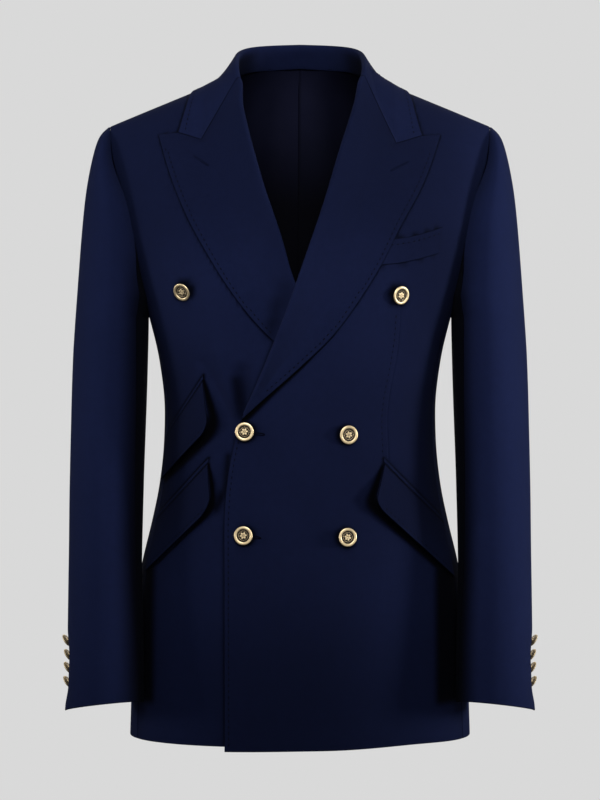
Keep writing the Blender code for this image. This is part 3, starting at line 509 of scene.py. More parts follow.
# The camera's sensor in mm, the world's strength, and the floor: its height, the first and
# last radius and number of its rings, its sides, and the radii between which it fades.
SENSOR_WIDTH = 36.0
SOFT_WORLD = 0.07
MIRRORED_WORLD = 0.75
FLOOR_Z = -1.35
FLOOR_RINGS = (0.05, 2.8, 12)
FLOOR_SIDES = 72
FLOOR_FADE = (2.9, 1.5)

# ------------------------------------------------------------------ cuts and finishes
LINED = ["navy_twill", "satin_lining"]
UNLINED = ["navy_twill"]
# Flat width and length of each piece's cut, and its area where it is no rectangle.
Cut = namedtuple("Cut", "flat area")
FRONT_CUT = Cut((0.36, 0.78), 0.19)
BACK_CUT = Cut((0.24, 0.80), 0.16)
SIDE_CUT = Cut((0.10, 0.49), None)
LINING_CUT = Cut((0.24, 0.78), 0.155)
TOP_SLEEVE_CUT = Cut((0.20, 0.64), 0.10)
UNDER_SLEEVE_CUT = Cut((0.13, 0.46), 0.05)
LAPEL_CUT = Cut((0.13, 0.39), 0.030)
COLLAR_CUT = Cut((0.46, 0.12), 0.034)
FLAP_FLAT = (0.105, 0.062)
JET_FLAT = (0.10, 0.0102)
JET_AREA_SHARE = 0.085
JET_AREA_LEAST = 0.00032
WELT_CUT = Cut((0.072, 0.028), None)
# The facing inside a front is this wide. The lining ends above the hem.
FACING = 0.11
LINING_HEM_Z = -0.712
# The lining's pleat down the middle of the back, and its soft waves beside it.
PLEAT = 0.0024
PLEAT_RISE = 0.0016
PLEAT_ENDS = (0.004, 0.024)
LINING_SEAT = 0.0010
LINING_EASE = 0.0008
LINING_EASE_ENDS = (-0.03, 0.005)
WAVE = 0.0007
WAVES_ACROSS = 190.0
WAVES_UP = 16.0
WAVE_SWAY = 1.5
WAVE_START = (0.0, 0.03)
# Painted shade on the lining, deep inside, to either side of the pleat and in its crease.
DEEP_SHADE = 0.98
DEEP_ENDS = (-0.02, -0.15)
TURNED_SHADES = {"left": 0.55, "right": 0.25}
TURNED_ENDS = (0.004, 0.045)
CREASE_SHADE = 0.55
CREASE_ENDS = (-0.0016, 0.0032)
BELOW_SHADE = 0.22
BELOW_ENDS = (-0.03, -0.11)
# Painted shade on the sleeves, on the side towards the body, and on the side panels beside them.
SLEEVE_SHADE = 0.97
SLEEVE_SHADE_ENDS = {"left": (0.02, 0.27), "right": (0.02, 0.37)}
SLEEVE_SHADE_TOP = (-0.19, -0.27)
UNDER_SHADE_ENDS = (-0.014, 0.002)
SIDE_SHADE_ENDS = (-0.08, 0.02)
# Painted shade on the collar's band inside the neck, up to the fold, and on its leaf on one side.
BAND_FADE = (0.62, 0.98)
BAND_SHADE = 0.32
BAND_SIDE_SHADE = 0.5
BAND_SIDE_ENDS = (0.045, 0.062)
LEAF_SHADE = 0.14
LEAF_SHADE_ENDS = (0.02, 0.08)
FOLD_LINE = len(FINE_STEPS) + TAIL_STEPS + ROLL_STEPS // 2 - 3
# Painted shade on the pockets' edges, where they lie against the cloth.
FLAP_TOP_SHADE = 0.9
FLAP_TOP_ENDS = (0.0010, 0.0034)
FLAP_SOFT_SHARE = 0.8
JET_EDGE_ENDS = (0.0004, 0.0014)
# Thread: a pick stitch, where its rows lie and end, and a worked buttonhole's cord.
PICK = dict(length=0.0032, radius=0.00070, sink=0.00016)
STITCH_RINGS = 7
STITCH_SIDES = 8
STITCH_FLATNESS = 0.8
STITCH_AIM = 0.2
LAPEL_PICK = slice(12, -14)
FRONT_PICK_Z = (-0.736, -0.395)
DART_PICK_IN = 0.0045
DART_PICK_CLEAR = (0.004, 0.008)
WELT_PICK_UP = 0.0237
WELT_PICK = slice(3, -3)
COLLAR_PICK_COLUMN = 40
COLLAR_PICK = slice(6, -6)
FLAP_PICK_COLUMN = 24
FLAP_PICK = slice(8, -3)
HOLE_STEPS = 121
HOLE_CORD = 0.00055
HOLE_RIBS = 38
HOLE_RIB_DEPTH = 0.22
HOLE_FLATNESS = 0.8
HOLE_SQUARENESS = (0.5, 0.8)
HOLE_SHADE = 0.55
# Buttons, in shares of the radius: the rim's and the rope's middle and half width, the
# petals, the boss, the heights, and the underside down to the shank.
RIM = (0.84, 0.17)
RIM_START = 0.6
RIM_POWER = 3
ROPE = (0.50, 0.045)
ROPE_TURNS = 18
ROPE_LEVEL = (0.60, 0.30)
PETAL_REACH = (0.17, 0.24)
PETAL_ROUND = 0.6
PETAL_PAIRS = 3
PETAL_EDGE = 0.05
PETAL_START = (0.10, 0.03)
PETAL_LEVEL = 0.9
BOSS = (0.09, 0.03)
BUTTON_FACE = 0.43
RIM_RISE = 0.13
RELIEF_RISE = 0.09
RELIEF_END = 0.62
RIM_POLISH = 1.4
BUTTON_CROWN = 0.54
UNDERSIDE = ((0.985, 0.42), (0.93, 0.38), (0.8, 0.345), (0.55, 0.315), (0.3, 0.29),
             (0.26, 0.24), (0.26, 0.0))
UNDER_POLISH = 0.75
SHANK_POLISH = 0.5
BUTTON_STEPS = (56, 96)
CUFF_BUTTON_STEPS = (30, 56)
BUTTON_SEAT = 0.0001


# ------------------------------------------------------------------ reading the tables
def cubic(key, value, at):
    """Cubic through the rows whose slope at a row is the harmonic mean of its neighbours'."""
    step = np.diff(key)
    rise = np.diff(value) / step
    slope = np.concatenate(([rise[0]], np.zeros(len(key) - 2), [rise[-1]]))
    same = rise[:-1] * rise[1:] > 0
    total = np.where(same, rise[:-1] + rise[1:], 1.0)
    slope[1:-1] = np.where(same, 2.0 * rise[:-1] * rise[1:] / total, 0.0)
    i = np.clip(np.searchsorted(key, at) - 1, 0, len(key) - 2)
    u = (at - key[i]) / step[i]
    start = value[i] * (1 + 2 * u) * (1 - u) ** 2 + step[i] * slope[i] * u * (1 - u) ** 2
    end = value[i + 1] * u * u * (3 - 2 * u) - step[i] * slope[i + 1] * u * u * (1 - u)
    return start + end


@lru_cache(maxsize=None)
def samples(rows, column, soft):
    """A column's cubic, evened out with a bell curve of width soft and mirrored about its
    ends so that they stay."""
    key = np.array([row[0] for row in rows], dtype=float)
    value = np.array([getattr(row, column) for row in rows], dtype=float)
    at = np.linspace(key[0], key[-1], SAMPLES)
    line = cubic(key, value, at)
    spread = soft / (at[1] - at[0])
    reach = int(3 * spread) + 1
    bell = np.exp(-0.5 * (np.arange(-reach, reach + 1) / spread) ** 2)
    first = 2 * line[0] - line[reach:0:-1]
    last = 2 * line[-1] - line[-2:-reach - 2:-1]
    padded = np.concatenate((first, line, last))
    return at, np.convolve(padded, bell / bell.sum(), mode="valid")


def look_up(rows, column, at, soft=SEAM_SOFT):
    """A column's value at places along the table's first column."""
    return np.interp(at, *samples(rows, column, soft))


def blend(a, b, share):
    """A share of the way from a to b."""
    return a + (b - a) * share


def ease(low, high, at):
    """0 below low, 1 above high and a smooth rise between them."""
    u = np.clip((at - low) / (high - low), 0.0, 1.0)
    return u * u * (3 - 2 * u)


def unit(vectors):
    """The same directions, one metre long."""
    length = np.linalg.norm(vectors, axis=-1, keepdims=True)
    return vectors / np.maximum(length, 1e-12)


def steps(length, count, start=True, end=True):
    """Shares from 0 to 1, even but finer close to the ends that are edges of the cloth."""
    fine = np.array(FINE_STEPS) / length
    share = np.linspace(0.0, 1.0, count)
    if start:
        share = np.concatenate((fine, share[share > FINE_CLEAR * fine[-1]]))
    if end:
        share = np.concatenate((share[share < 1 - FINE_CLEAR * fine[-1]], 1 - fine[::-1]))
    return share


# ------------------------------------------------------------------ the torso's form
def ridge_height(across):
    """Height of the shoulder seam: a straight line that curves up towards the neck."""
    rise = RIDGE_BEND / 2 * np.maximum(RIDGE_BEND_X - across, 0.0) ** 2
    return SHOULDER_TIP[1] + RIDGE_SLOPE * (SHOULDER_TIP[0] - across) + rise


def close_height(across, back):
    """Height at which the form closes: the shoulder seam, or the back neck's curve."""
    if back:
        inside = look_up(BACK_CLOSURE, "height", across, NECK_SOFT)
        return np.where(across < NECK_X, inside, ridge_height(across))
    return ridge_height(across)


def close_power(back):
    """How round the shoulders close, in front or behind."""
    return BACK_CLOSE if back else FRONT_CLOSE


def depth_at(height, back):
    """The form's depth at a height, in front or behind."""
    return look_up(BODY, "back_depth" if back else "front_depth", height, DEPTH_SOFT)


def half_width(height):
    """The form's half width at a height."""
    return look_up(BODY, "half_width", height, WIDTH_SOFT)


def wall(across, height, back):
    """Y of the front or back wall. A superellipse across, closed over the shoulder in height:
    depth * (1 - (x/a)^n)^(1/n) * (1 - t^m)^(1/m), t running from the armpit to the ridge."""
    x = np.abs(across)
    side = np.clip(1 - (x / half_width(height)) ** RING_POWER, 0, 1)
    t = np.clip((height - ARMPIT_Z) / (close_height(x, back) - ARMPIT_Z), 0, 1)
    shut = (1 - t ** close_power(back)) ** (1 / close_power(back))
    y = depth_at(height, back) * side ** (1 / RING_POWER) * shut
    return y if back else -y


def ring(degrees, height):
    """Across and y on the form, before it closes, at an angle round from the centre front."""
    s, c = np.sin(degrees * DEGREE), np.cos(degrees * DEGREE)
    b = np.where(c > 0, depth_at(height, False), depth_at(height, True))
    n = RING_POWER
    radius = ((np.abs(s) / half_width(height)) ** n + (np.abs(c) / b) ** n) ** (-1 / n)
    return radius * s, -radius * c


def ring_point(degrees, height):
    """Point on the form, before it closes."""
    x, y = ring(degrees, height)
    return np.stack((x, y, height + 0 * x), axis=-1)


def ring_normal(degrees, height, turn=0.2, rise=0.001):
    """Outward unit normal of the form, from points a small turn and rise apart."""
    around = ring_point(degrees + turn, height) - ring_point(degrees - turn, height)
    upward = ring_point(degrees, height + rise) - ring_point(degrees, height - rise)
    return unit(np.cross(around, upward))


def seam_across(column, height):
    """Across of a side seam at a height."""
    return ring(look_up(SEAMS, column, height), height)[0]


def wall_normals(points, back, step=0.0008):
    """Outward unit normals of the front or back wall at the points' across and height."""
    x, z = plan(points)
    dx = (wall(x + step, z, back) - wall(x - step, z, back)) / (2 * step)
    dz = (wall(x, z + step, back) - wall(x, z - step, back)) / (2 * step)
    sign = 1.0 if back else -1.0
    return unit(np.stack((-dx * sign, np.full_like(dx, sign), -dz * sign), axis=-1))


def grid_normals(points, like):
    """Unit normals of a grid of points, on the side that like points to."""
    normal = np.cross(np.gradient(points, axis=1), np.gradient(points, axis=0))
    normal = unit(normal)
    flip = np.sign(np.sum(normal * like, axis=-1, keepdims=True))
    return normal * np.where(flip == 0, 1.0, flip)


def on_wall(across, height, back=False):
    """Points on the front or back wall."""
    return np.stack((across, wall(across, height, back), height), axis=-1)


def torso_points(across_at, back, low, turn, hem, top_share):
    """Grid on the torso: rows from the hem to the armpit, then rows that follow the closing of
    the shoulder, so that the top row lies on the shoulder seam or on the neck."""
    x_hem = across_at(np.full((1, 1), HEM_Z))
    z_low = blend(hem(x_hem), ARMPIT_Z, low[:, None])
    x_low = across_at(z_low)
    lower = on_wall(x_low, z_low, back)
    power = close_power(back)
    z = np.full((len(turn), x_low.shape[1]), ARMPIT_Z)
    for _ in range(CLOSE_ROUNDS):
        x = across_at(z)
        angle = turn[:, None] * np.arccos(top_share(x, z) ** (power / 2))
        t = np.sin(angle) ** (2 / power)
        z = ARMPIT_Z + t * (close_height(np.abs(x), back) - ARMPIT_Z)
    side = np.clip(1 - (np.abs(x) / half_width(z)) ** RING_POWER, 0, 1)
    y = depth_at(z, back) * side ** (1 / RING_POWER) * np.cos(angle) ** (2 / power)
    upper = np.stack((x, y if back else -y, z), axis=-1)
    return np.concatenate((lower, upper), axis=0)


def ridge_share(x, z):
    """Share of the depth left at the top row, so that front and back stay a seam apart."""
    return RIDGE_GAP / depth_at(z, False) + 0 * x


def neck_share(x, z):
    """The same for the back, whose top row also follows the neck's curve."""
    neck = 1 - np.clip(np.abs(x) / NECK_X, 0, 1) ** NECK_POWER
    return np.maximum(BACK_NECK_SHARE * neck ** (1 / NECK_POWER), ridge_share(x, z))


def over_lift(front, across):
    """How far a front lies off the form: all of its lift inside, none outside."""
    return front.lift * (1 - ease(*OVER_LIFT_ENDS, across))


def line_distance(x, z, x0, z0, x1, z1):
    """Distance from points to a straight line between two ends, in the plan of x and z, and
    the share along the line of its nearest point."""
    dx, dz = x1 - x0, z1 - z0
    share = np.clip(((x - x0) * dx + (z - z0) * dz) / (dx * dx + dz * dz), 0, 1)
    return np.hypot(x - x0 - share * dx, z - z0 - share * dz), share


def creases(rows, x, z):
    """Sum of soft troughs and ridges: depth times a bell curve across each line, fading in a
    circle round its ends."""
    total = np.zeros(np.broadcast(x, z).shape)
    for row in rows:
        away, _ = line_distance(x, z, row.x0, row.z0, row.x1, row.z1)
        total = total + row.depth * np.exp(-(away / row.width) ** 2)
    return total


def pairs(points):
    """Each point with the next."""
    return zip(points[:-1], points[1:])


def shade_lines(front):
    """Lines on a front along which little light comes in, being beside what lies on it, and
    the band of shade that each has."""
    for row in FLAPS:
        if row.side == front.name:
            yield [(x, z + JET_WIDTH) for x, z in (row.front_top, row.rear_top)], JET_BAND
            outline = flap_outline(row)
            for k, (first, last) in enumerate(pairs(row.bands)):
                part = outline[OUTLINE[k]:OUTLINE[k + 1] + 1]
                yield part, Band(first, last, FLAP_SHADE, FLAP_SHADE_POWER)
    edge = [(row.across, row.height) for row in front.lapel]
    yield edge, LAPEL_BAND
    yield (front.notch, front.peak), NOTCH_BAND
    yield collar_edge(front), COLLAR_BAND
    if front is RIGHT:
        over = [(-row.across, row.height) for row in OVER_EDGE if row.across < OVER_EDGE_SHADED]
        yield over, OVER_BAND
        yield from UNDER_FOLDS
    else:
        yield edge[:FOLD_POINTS], FOLD_BAND
        for ends, band in WELT_BANDS:
            yield list(zip(*welt_line(ends, np.linspace(0.0, 1.0, WELT_SHADE_POINTS)))), band


def front_painted_shade(front, x, z):
    """0 to 1: painted shade on a front, darker the nearer its cloth is to what lies on it, the
    strongest line counting.
    """
    shade = np.zeros(np.broadcast(x, z).shape)
    for line, band in shade_lines(front):
        width = np.linspace(band.first, band.last, len(line))
        for k, ((x0, z0), (x1, z1)) in enumerate(pairs(line)):
            away, share = line_distance(x, z, x0, z0, x1, z1)
            soft = np.exp(-(away / blend(width[k], width[k + 1], share)) ** band.power)
            shade = np.maximum(shade, band.strength * soft)
    for row in BUTTONS:
        if row.front == front.name:
            away = np.hypot(x - row.across * front.sign, z - row.height)
            past = np.maximum(away - BUTTON_SHADE_START, 0) / BUTTON_SHADE_REACH
            shade = np.maximum(shade, BUTTON_SHADE * np.exp(-past ** 2))
    together = 1 - (1 - shade) * (1 - soft_shade(front, x, z))
    return np.maximum(together, beside_sleeve(front, x, z))


def soft_shade(front, x, z):
    """The broad soft shades together, each a bell across and a flat-topped one up."""
    light = np.ones(np.broadcast(x, z).shape)
    for row in SOFT_SHADES:
        if row.front in (front.name, "both"):
            away = ((x - row.x) / row.reach_x) ** 2 + ((z - row.z) / row.reach_z) ** 4
            light = light * (1 - row.strength * np.exp(-away))
    return 1 - light


def beside_sleeve(front, x, z):
    """0 to 1: painted shade in the gap where the sleeve hangs against the body."""
    beside = ease(*GAP_TOP, z) * (1 - ease(*GAP_LOW, z))
    return GAP_SHADE * ease(front.gap, front.gap + GAP_WIDTH, x) * beside


# ------------------------------------------------------------------ meshes
def plan(points):
    """Across and height of points."""
    return points[..., 0], points[..., 2]


def arc_lengths(points, axis):
    """Distance along the grid's lines from their first point."""
    piece = np.linalg.norm(np.diff(points, axis=axis), axis=-1)
    zero = np.zeros_like(np.take(piece, [0], axis=axis))
    return np.concatenate((zero, np.cumsum(piece, axis=axis)), axis=axis)


def edge_distance(points):
    """Distance of each point of a grid from the nearest edge, along the grid's lines."""
    nearest = None
    for axis in (0, 1):
        run = arc_lengths(points, axis)
        total = np.take(run, [-1], axis=axis)
        near = np.minimum(run, total - run)
        nearest = near if nearest is None else np.minimum(nearest, near)
    return nearest


def grid_faces(index, flip):
    """Four-cornered faces between a grid's point numbers."""
    quads = np.stack((index[:-1, :-1], index[:-1, 1:], index[1:, 1:], index[1:, :-1]), axis=-1)
    quads = quads.reshape(-1, 4)
    return quads[:, ::-1] if flip else quads


def store(mesh, name, values):
    """Keep one number for each point of a mesh, for its material."""
    layer = mesh.attributes.new(name, "FLOAT", "POINT")
    layer.data.foreach_set("value", values.astype(np.float32).ravel())


def make_object(name, points, faces, uv, slots, materials, edge=None):
    """A mesh object at the origin from arrays of points, four-cornered faces and a UV map."""
    mesh = bpy.data.meshes.new(name)
    mesh.vertices.add(len(points))
    mesh.vertices.foreach_set("co", points.astype(np.float32).ravel())
    mesh.loops.add(faces.size)
    mesh.loops.foreach_set("vertex_index", faces.astype(np.int32).ravel())
    mesh.polygons.add(len(faces))
    starts = np.arange(0, faces.size, faces.shape[1], dtype=np.int32)
    mesh.polygons.foreach_set("loop_start", starts)
    layer = mesh.uv_layers.new(name="cut")
    layer.data.foreach_set("uv", uv[faces.ravel()].astype(np.float32).ravel())
    for item in materials:
        mesh.materials.append(bpy.data.materials[item])
    mesh.polygons.foreach_set("material_index", slots.astype(np.int32))
    mesh.update(calc_edges=True)
    mesh.validate()
    mesh.shade_smooth()
    # edge is painted shade, kept on each point for the material.
    if edge is not None:
        store(mesh, "edge", edge)
    return link(name, mesh)


def link(name, mesh):
    """A mesh as an object of the scene, riding on the one body."""
    made = bpy.data.objects.new(name, mesh)
    bpy.context.scene.collection.objects.link(made)
    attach(made, "root")
    return made


def add_sheet(name, middle, normal, thickness, uv, materials, inside=None, sign=1.0,
              shade=None, deep=None):
    """Closed sheet of cloth on a grid of points. Each face is the middle moved along the
    normal by half the thickness times sqrt(1 - (1 - d/r)^2), d being the distance from the
    edge, so the two faces round over and meet there. inside gives the material number of each
    inner face, and sign -1 puts the piece on the other side of the body. shade and deep are
    painted shade on the outer and the inner face, where little light reaches them."""
    mirror = np.array((sign, 1.0, 1.0))
    middle, normal = middle * mirror, normal * mirror
    rows, columns = middle.shape[:2]
    near = edge_distance(middle)
    short = 1 - np.clip(near / (EDGE_ROUND * thickness), 0, 1)
    swell = (np.sqrt(1 - short * short) * thickness / 2)[..., None]
    outer = (middle + normal * swell).reshape(-1, 3)
    inner = (middle - normal * swell)[1:-1, 1:-1].reshape(-1, 3)
    index = np.arange(rows * columns).reshape(rows, columns)
    under = index.copy()
    under[1:-1, 1:-1] = len(outer) + np.arange(len(inner)).reshape(rows - 2, columns - 2)
    tangent = np.cross(np.gradient(middle, axis=1), np.gradient(middle, axis=0))
    flip = np.sum(tangent * normal) < 0
    faces = np.concatenate((grid_faces(index, flip), grid_faces(under, not flip)))
    count = (rows - 1) * (columns - 1)
    inside = np.full(count, 1) if inside is None else inside.ravel()
    slots = np.concatenate((np.zeros(count), np.minimum(inside, len(materials) - 1)))
    flat_uv = uv.reshape(-1, 2)
    uvs = np.concatenate((flat_uv, uv[1:-1, 1:-1].reshape(-1, 2)))
    # Painted shade along every edge of the sheet, darkest at the edge, joined with the painted shade
    # given as shade and deep.
    painted_shade = np.clip(1 - near / EDGE_SHADE_REACH, 0, 1)
    seen = painted_shade if shade is None else np.maximum(painted_shade, shade)
    hidden = painted_shade if deep is None else np.maximum(painted_shade, deep)
    painted_shade = np.concatenate((seen.ravel(), hidden[1:-1, 1:-1].ravel()))
    points = np.concatenate((outer, inner))
    return make_object(name, points, faces, uvs, slots, materials, painted_shade)


def cut_uv(points, across=0.0, along=0.0):
    """Where each point lay on the cut cloth: lengths along the grid's lines, in metres."""
    u = arc_lengths(points, 1) + across
    v = arc_lengths(points, 0) + along
    return np.stack((u, v), axis=-1)


# ------------------------------------------------------------------ panels
def roll_set_back(front, height):
    """How far the front's own edge stays back inside the lapel's fold."""
    low, high = (front.roll_end + step for step in ROLL_SET_BACK_ENDS)
    return ROLL_SET_BACK * ease(low, high, height)


def front_grid(front):
    """Middle, normals and cut of a front. Its columns run from the front edge to the dart and
    from the dart to the side, so that the dart's groove falls on a column."""
    first, second = steps(*FRONT_TO_DART), steps(*DART_TO_SIDE)[1:]
    to_dart = np.concatenate((first, 1 + 0 * second))
    to_side = np.concatenate((0 * first, second))

    def across_at(z):
        inner = look_up(front.edge, "across", z, EDGE_SOFT) + roll_set_back(front, z)
        middle = look_up(DART, "across", z)
        outer = seam_across("front_deg", z)
        return inner + (middle - inner) * to_dart + (outer - middle) * to_side

    def hem(x):
        return look_up(front.hem, "height", x, HEM_SOFT)

    low = steps(*FRONT_UP, end=False)[:-1]
    turn = steps(*SHOULDER_UP, start=False)
    points = torso_points(across_at, False, low, turn, hem, ridge_share)
    normal = grid_normals(points, wall_normals(points, False))
    x, z = plan(points)
    lift = over_lift(front, x) + WALL / 2
    lift = lift + creases(LEFT_CREASES if front is LEFT else RIGHT_CREASES, x, z)
    if front is LEFT:
        low_z, top_z = DART_ENDS
        within = ease(low_z - DART_FADES[0], low_z, z) * (1 - ease(top_z, top_z + DART_FADES[1], z))
        away = x - look_up(DART, "across", z)
        lift = lift - DART_GROOVE * within * np.exp(-(away / DART_GROOVE_WIDTH) ** 2)
    points = points + normal * lift[..., None]
    uv = cut_uv(points, x[:, :1], HEM_Z)
    return points, normal, uv


def back_grid(hem_z=HEM_Z, overlap=0.0, across=BACK_ACROSS):
    """A back, from past the middle by overlap to the side seam."""
    share = steps(*across)

    def across_at(z):
        return blend(-overlap, seam_across("back_deg", z), share[None, :])

    def hem(x):
        return hem_z + 0 * x

    low = steps(*BACK_UP, end=False)[:-1]
    turn = steps(*SHOULDER_UP, start=False)
    points = torso_points(across_at, True, low, turn, hem, neck_share)
    normal = grid_normals(points, wall_normals(points, True))
    return points, normal


def side_grid():
    """A side panel, from the front's seam to the back's and up to the armhole."""
    share = steps(*SIDE_ACROSS)[None, :]
    top = PIT_Z + PIT_RISE * np.abs(2 * share - 1) ** PIT_POWER
    hem = blend(SIDE_HEM_Z, HEM_Z, share)
    z = blend(hem, top, steps(*SIDE_UP)[:, None])
    degrees = blend(look_up(SEAMS, "front_deg", z), look_up(SEAMS, "back_deg", z), share)
    normal = ring_normal(degrees, z)
    points = ring_point(degrees, z) + normal * (WALL / 2)
    return points, normal


# ------------------------------------------------------------------ lapels and collar
def lapel_top(front, share, start):
    """Across and height of the lapel's top edge: the gorge, the notch, then the peak."""
    corners = (start, front.gorge, front.notch, front.peak)
    keys = (0.0, GORGE_SHARE, NOTCH_SHARE, 1.0)
    return np.stack([np.interp(share, keys, [c[k] for c in corners]) for k in (0, 1)], axis=-1)


def lapel_profile(front, along, leaf):
    """Distance from the roll line and height above the form of the lapel's cross-section: a
    tail inside the front, a half ellipse round its edge, then the leaf. Rows go down."""
    roll_z = blend(front.roll_top, front.roll_end, along)
    edge_z = blend(front.peak[1], front.lapel[0].height, along)
    roll = np.stack((look_up(front.edge, "across", roll_z, EDGE_SOFT), roll_z), axis=-1)
    edge = np.stack((look_up(front.lapel, "across", edge_z, EDGE_SOFT), edge_z), axis=-1)
    width = np.linalg.norm(edge - roll, axis=-1)
    direction = (edge - roll) / width[..., None]
    reach = np.minimum(ROLL_REACH, width * ROLL_REACH_SHARE)
    hump = ROLL_HUMP * ease(*HUMP_WIDTHS, width) * ease(*HUMP_ALONG, along)
    if front is RIGHT:
        hump = hump * ease(*UNDER_HUMP_Z, roll_z)
    bottom = np.full_like(width, TAIL_LIFT)
    top = front.lapel_lift + WALL / 2 + hump
    middle, half = (top + bottom) / 2, (top - bottom) / 2
    turn = np.linspace(np.pi, 0.0, ROLL_STEPS)[None, :]
    arc_a = reach * (1 - np.sin(turn))
    arc_n = middle + half * np.cos(turn)
    tail = np.minimum(TAIL_LENGTH, width * TAIL_SHARE)
    tail_a = blend(tail, reach, np.linspace(0, 1, TAIL_STEPS)[None, :-1])
    leaf = leaf[None, 1:]
    leaf_a = reach + (width - reach) * leaf
    rest = front.lapel_lift + WALL / 2 - LEAF_DROP * ease(0.5, 1.0, leaf)
    leaf_n = rest + hump * np.exp(-(leaf / HUMP_REACH) ** 2) + 0 * width
    a = np.concatenate((tail_a + 0 * width, arc_a, leaf_a), axis=1)
    n = np.concatenate((bottom + 0 * tail_a, arc_n, leaf_n), axis=1)
    share = np.clip((a - reach) / np.maximum(width - reach, 1e-6), 0, 1)
    share[:, :LEAF_FIRST - 1] = 0
    return roll, direction, a, n, share


def leaf_shares():
    """Shares across the lapel's leaf, with the gorge and the notch among them."""
    inner, middle, last = TOP_STEPS
    to_gorge = np.linspace(0.0, GORGE_SHARE, inner)[:-1]
    to_notch = np.linspace(GORGE_SHARE, NOTCH_SHARE, middle)[:-1]
    to_edge = blend(NOTCH_SHARE, 1.0, steps(TOP_LENGTH, last, start=False))
    return np.concatenate((to_gorge, to_notch, to_edge))


def facing_normals(points, like, column):
    """Unit normals of a folded grid, all on the side that like points to on one column."""
    normal = unit(np.cross(np.gradient(points, axis=1), np.gradient(points, axis=0)))
    return normal if np.sum(normal[:, column] * like) > 0 else -normal


def lapel_grid(front, along=None, leaf=None):
    """A lapel folded round its front's edge, over the whole of it or at given shares."""
    along = steps(*LAPEL_DOWN) if along is None else along
    leaf = leaf_shares() if leaf is None else leaf
    along = np.asarray(along)[:, None]
    roll, direction, a, n, _ = lapel_profile(front, along, leaf)
    spread = roll + direction * a[..., None]
    roll0, direction0, a0, _, share0 = lapel_profile(front, np.zeros((1, 1)), leaf)
    plain = roll0 + direction0 * a0[..., None]
    start = tuple(plain[0, LEAF_FIRST - 1])
    shaped = lapel_top(front, share0, start)
    leaf_part = (np.arange(a.shape[1]) >= LEAF_FIRST)[None, :, None]
    fade = np.clip(1 - along / TOP_FADE, 0, 1) ** 2
    spread = spread + np.where(leaf_part, shaped - plain, 0.0) * fade[..., None]
    base = on_wall(spread[..., 0], spread[..., 1])
    up = wall_normals(base, False)
    points = base + up * (over_lift(front, spread[..., 0]) + n)[..., None]
    return points, facing_normals(points, up[:, LEAF_LINE], LEAF_LINE)


def press_out(points, clear):
    """Move points that are nearer to the form than clear straight out from it."""
    x, y, z = points[..., 0], points[..., 1], points[..., 2]
    result = points.copy()
    for back in (False, True):
        normal = wall_normals(points, back)
        distance = (y - wall(x, z, back)) * normal[..., 1]
        under = (z < close_height(np.abs(x), back)) & ((y > 0) == back)
        push = np.where(under, np.clip(clear - distance, 0, None), 0.0)
        result = result + normal * push[..., None]
    return result


def press_up(points, clear):
    """Lift points over the shoulders until they are clear above the form."""
    x, y, z = points[..., 0], points[..., 1], points[..., 2]
    lifted = z
    for back in (False, True):
        side = np.clip(1 - (np.abs(x) / half_width(z)) ** RING_POWER, 0, 1) ** (1 / RING_POWER)
        deep = np.clip(np.abs(y) / (depth_at(z, back) * side), 0, 1)
        t = (1 - deep ** close_power(back)) ** (1 / close_power(back))
        roof = ARMPIT_Z + t * (close_height(np.abs(x), back) - ARMPIT_Z)
        short = np.clip(roof + clear * ROOF_CLEAR - z, 0, None) * (1 - ease(*ROOF_ENDS, deep))
        lifted = np.where((y > 0) == back, z + short, lifted)
    return np.stack((x, y, lifted), axis=-1)


def collar_line(prefix, share):
    """The roll (r), edge (e) or neck (n) line of the collar's table."""
    return np.stack([look_up(COLLAR, prefix + axis, share, COLLAR_SOFT) for axis in "xyz"], axis=-1)


def collar_half(front, share, down):
    """One half of the collar: rows from the band's seam to the neck, up the inside, round the
    fold and down the leaf to its edge; columns from the centre back to the front end, where
    every row runs into the matching point of the lapel's top edge."""
    roll = collar_line("r", share)
    edge = collar_line("e", share)
    neck = collar_line("n", share)
    along = unit(np.gradient(roll, axis=0))
    up = -unit(unit(edge - roll) + unit(neck - roll))
    up = unit(up - along * np.sum(up * along, axis=-1, keepdims=True))
    out = np.cross(along, up)
    out = out * np.sign(np.sum(out * (edge - neck), axis=-1, keepdims=True))
    centre = roll - up * COLLAR_FOLD
    leaf_start = centre + out * COLLAR_FOLD
    band_top = centre - out * COLLAR_FOLD
    band_share = np.linspace(0.0, 1.0, TAIL_STEPS)[:-1, None, None]
    band = blend(neck[None], band_top[None], band_share)
    turn = np.linspace(np.pi, 0.0, ROLL_STEPS)[:, None, None]
    arc = centre + COLLAR_FOLD * (out * np.cos(turn) + up * np.sin(turn))
    leaf_share = down[1:, None]
    leaf = blend(leaf_start[None], edge[None], leaf_share[..., None])
    facing = grid_normals(leaf, np.broadcast_to(out, leaf.shape))
    bow = look_up(COLLAR, "bow", share, COLLAR_SOFT)[None, :] * np.sin(np.pi * leaf_share)
    leaf = leaf + facing * bow[..., None]
    points = np.concatenate((band, arc, leaf))
    key = np.interp(down, (0.0, GORGE_KNOT, 1.0), (0.0, GORGE_SHARE, NOTCH_SHARE))
    target = lapel_grid(front, np.array(TOP_ROWS), key)[0][0]
    reach = ease(*MERGE_ENDS, share)[None, :, None] ** MERGE_POWER
    points = points + (target - points[:, -1])[:, None] * reach
    leaf = points[LEAF_FIRST:]
    clear = LEAF_CLEAR * ease(0.0, LEAF_RISE, leaf_share) + over_lift(front, leaf[..., 0])
    pressed = press_up(press_out(leaf, clear), clear - LEAF_SLACK)
    points[LEAF_FIRST:] = blend(leaf, pressed, (1 - ease(*FREE_ENDS, share))[None, :, None])
    return points


def collar_edge(front, back=False):
    """The collar's outer edge over a front, or over a back, as across and height."""
    edge = collar_half(front, *(np.linspace(0.0, 1.0, count) for count in COLLAR_EDGE_STEPS))[-1]
    return [(p[0], p[2]) for p in edge if (p[1] > 0) == back]


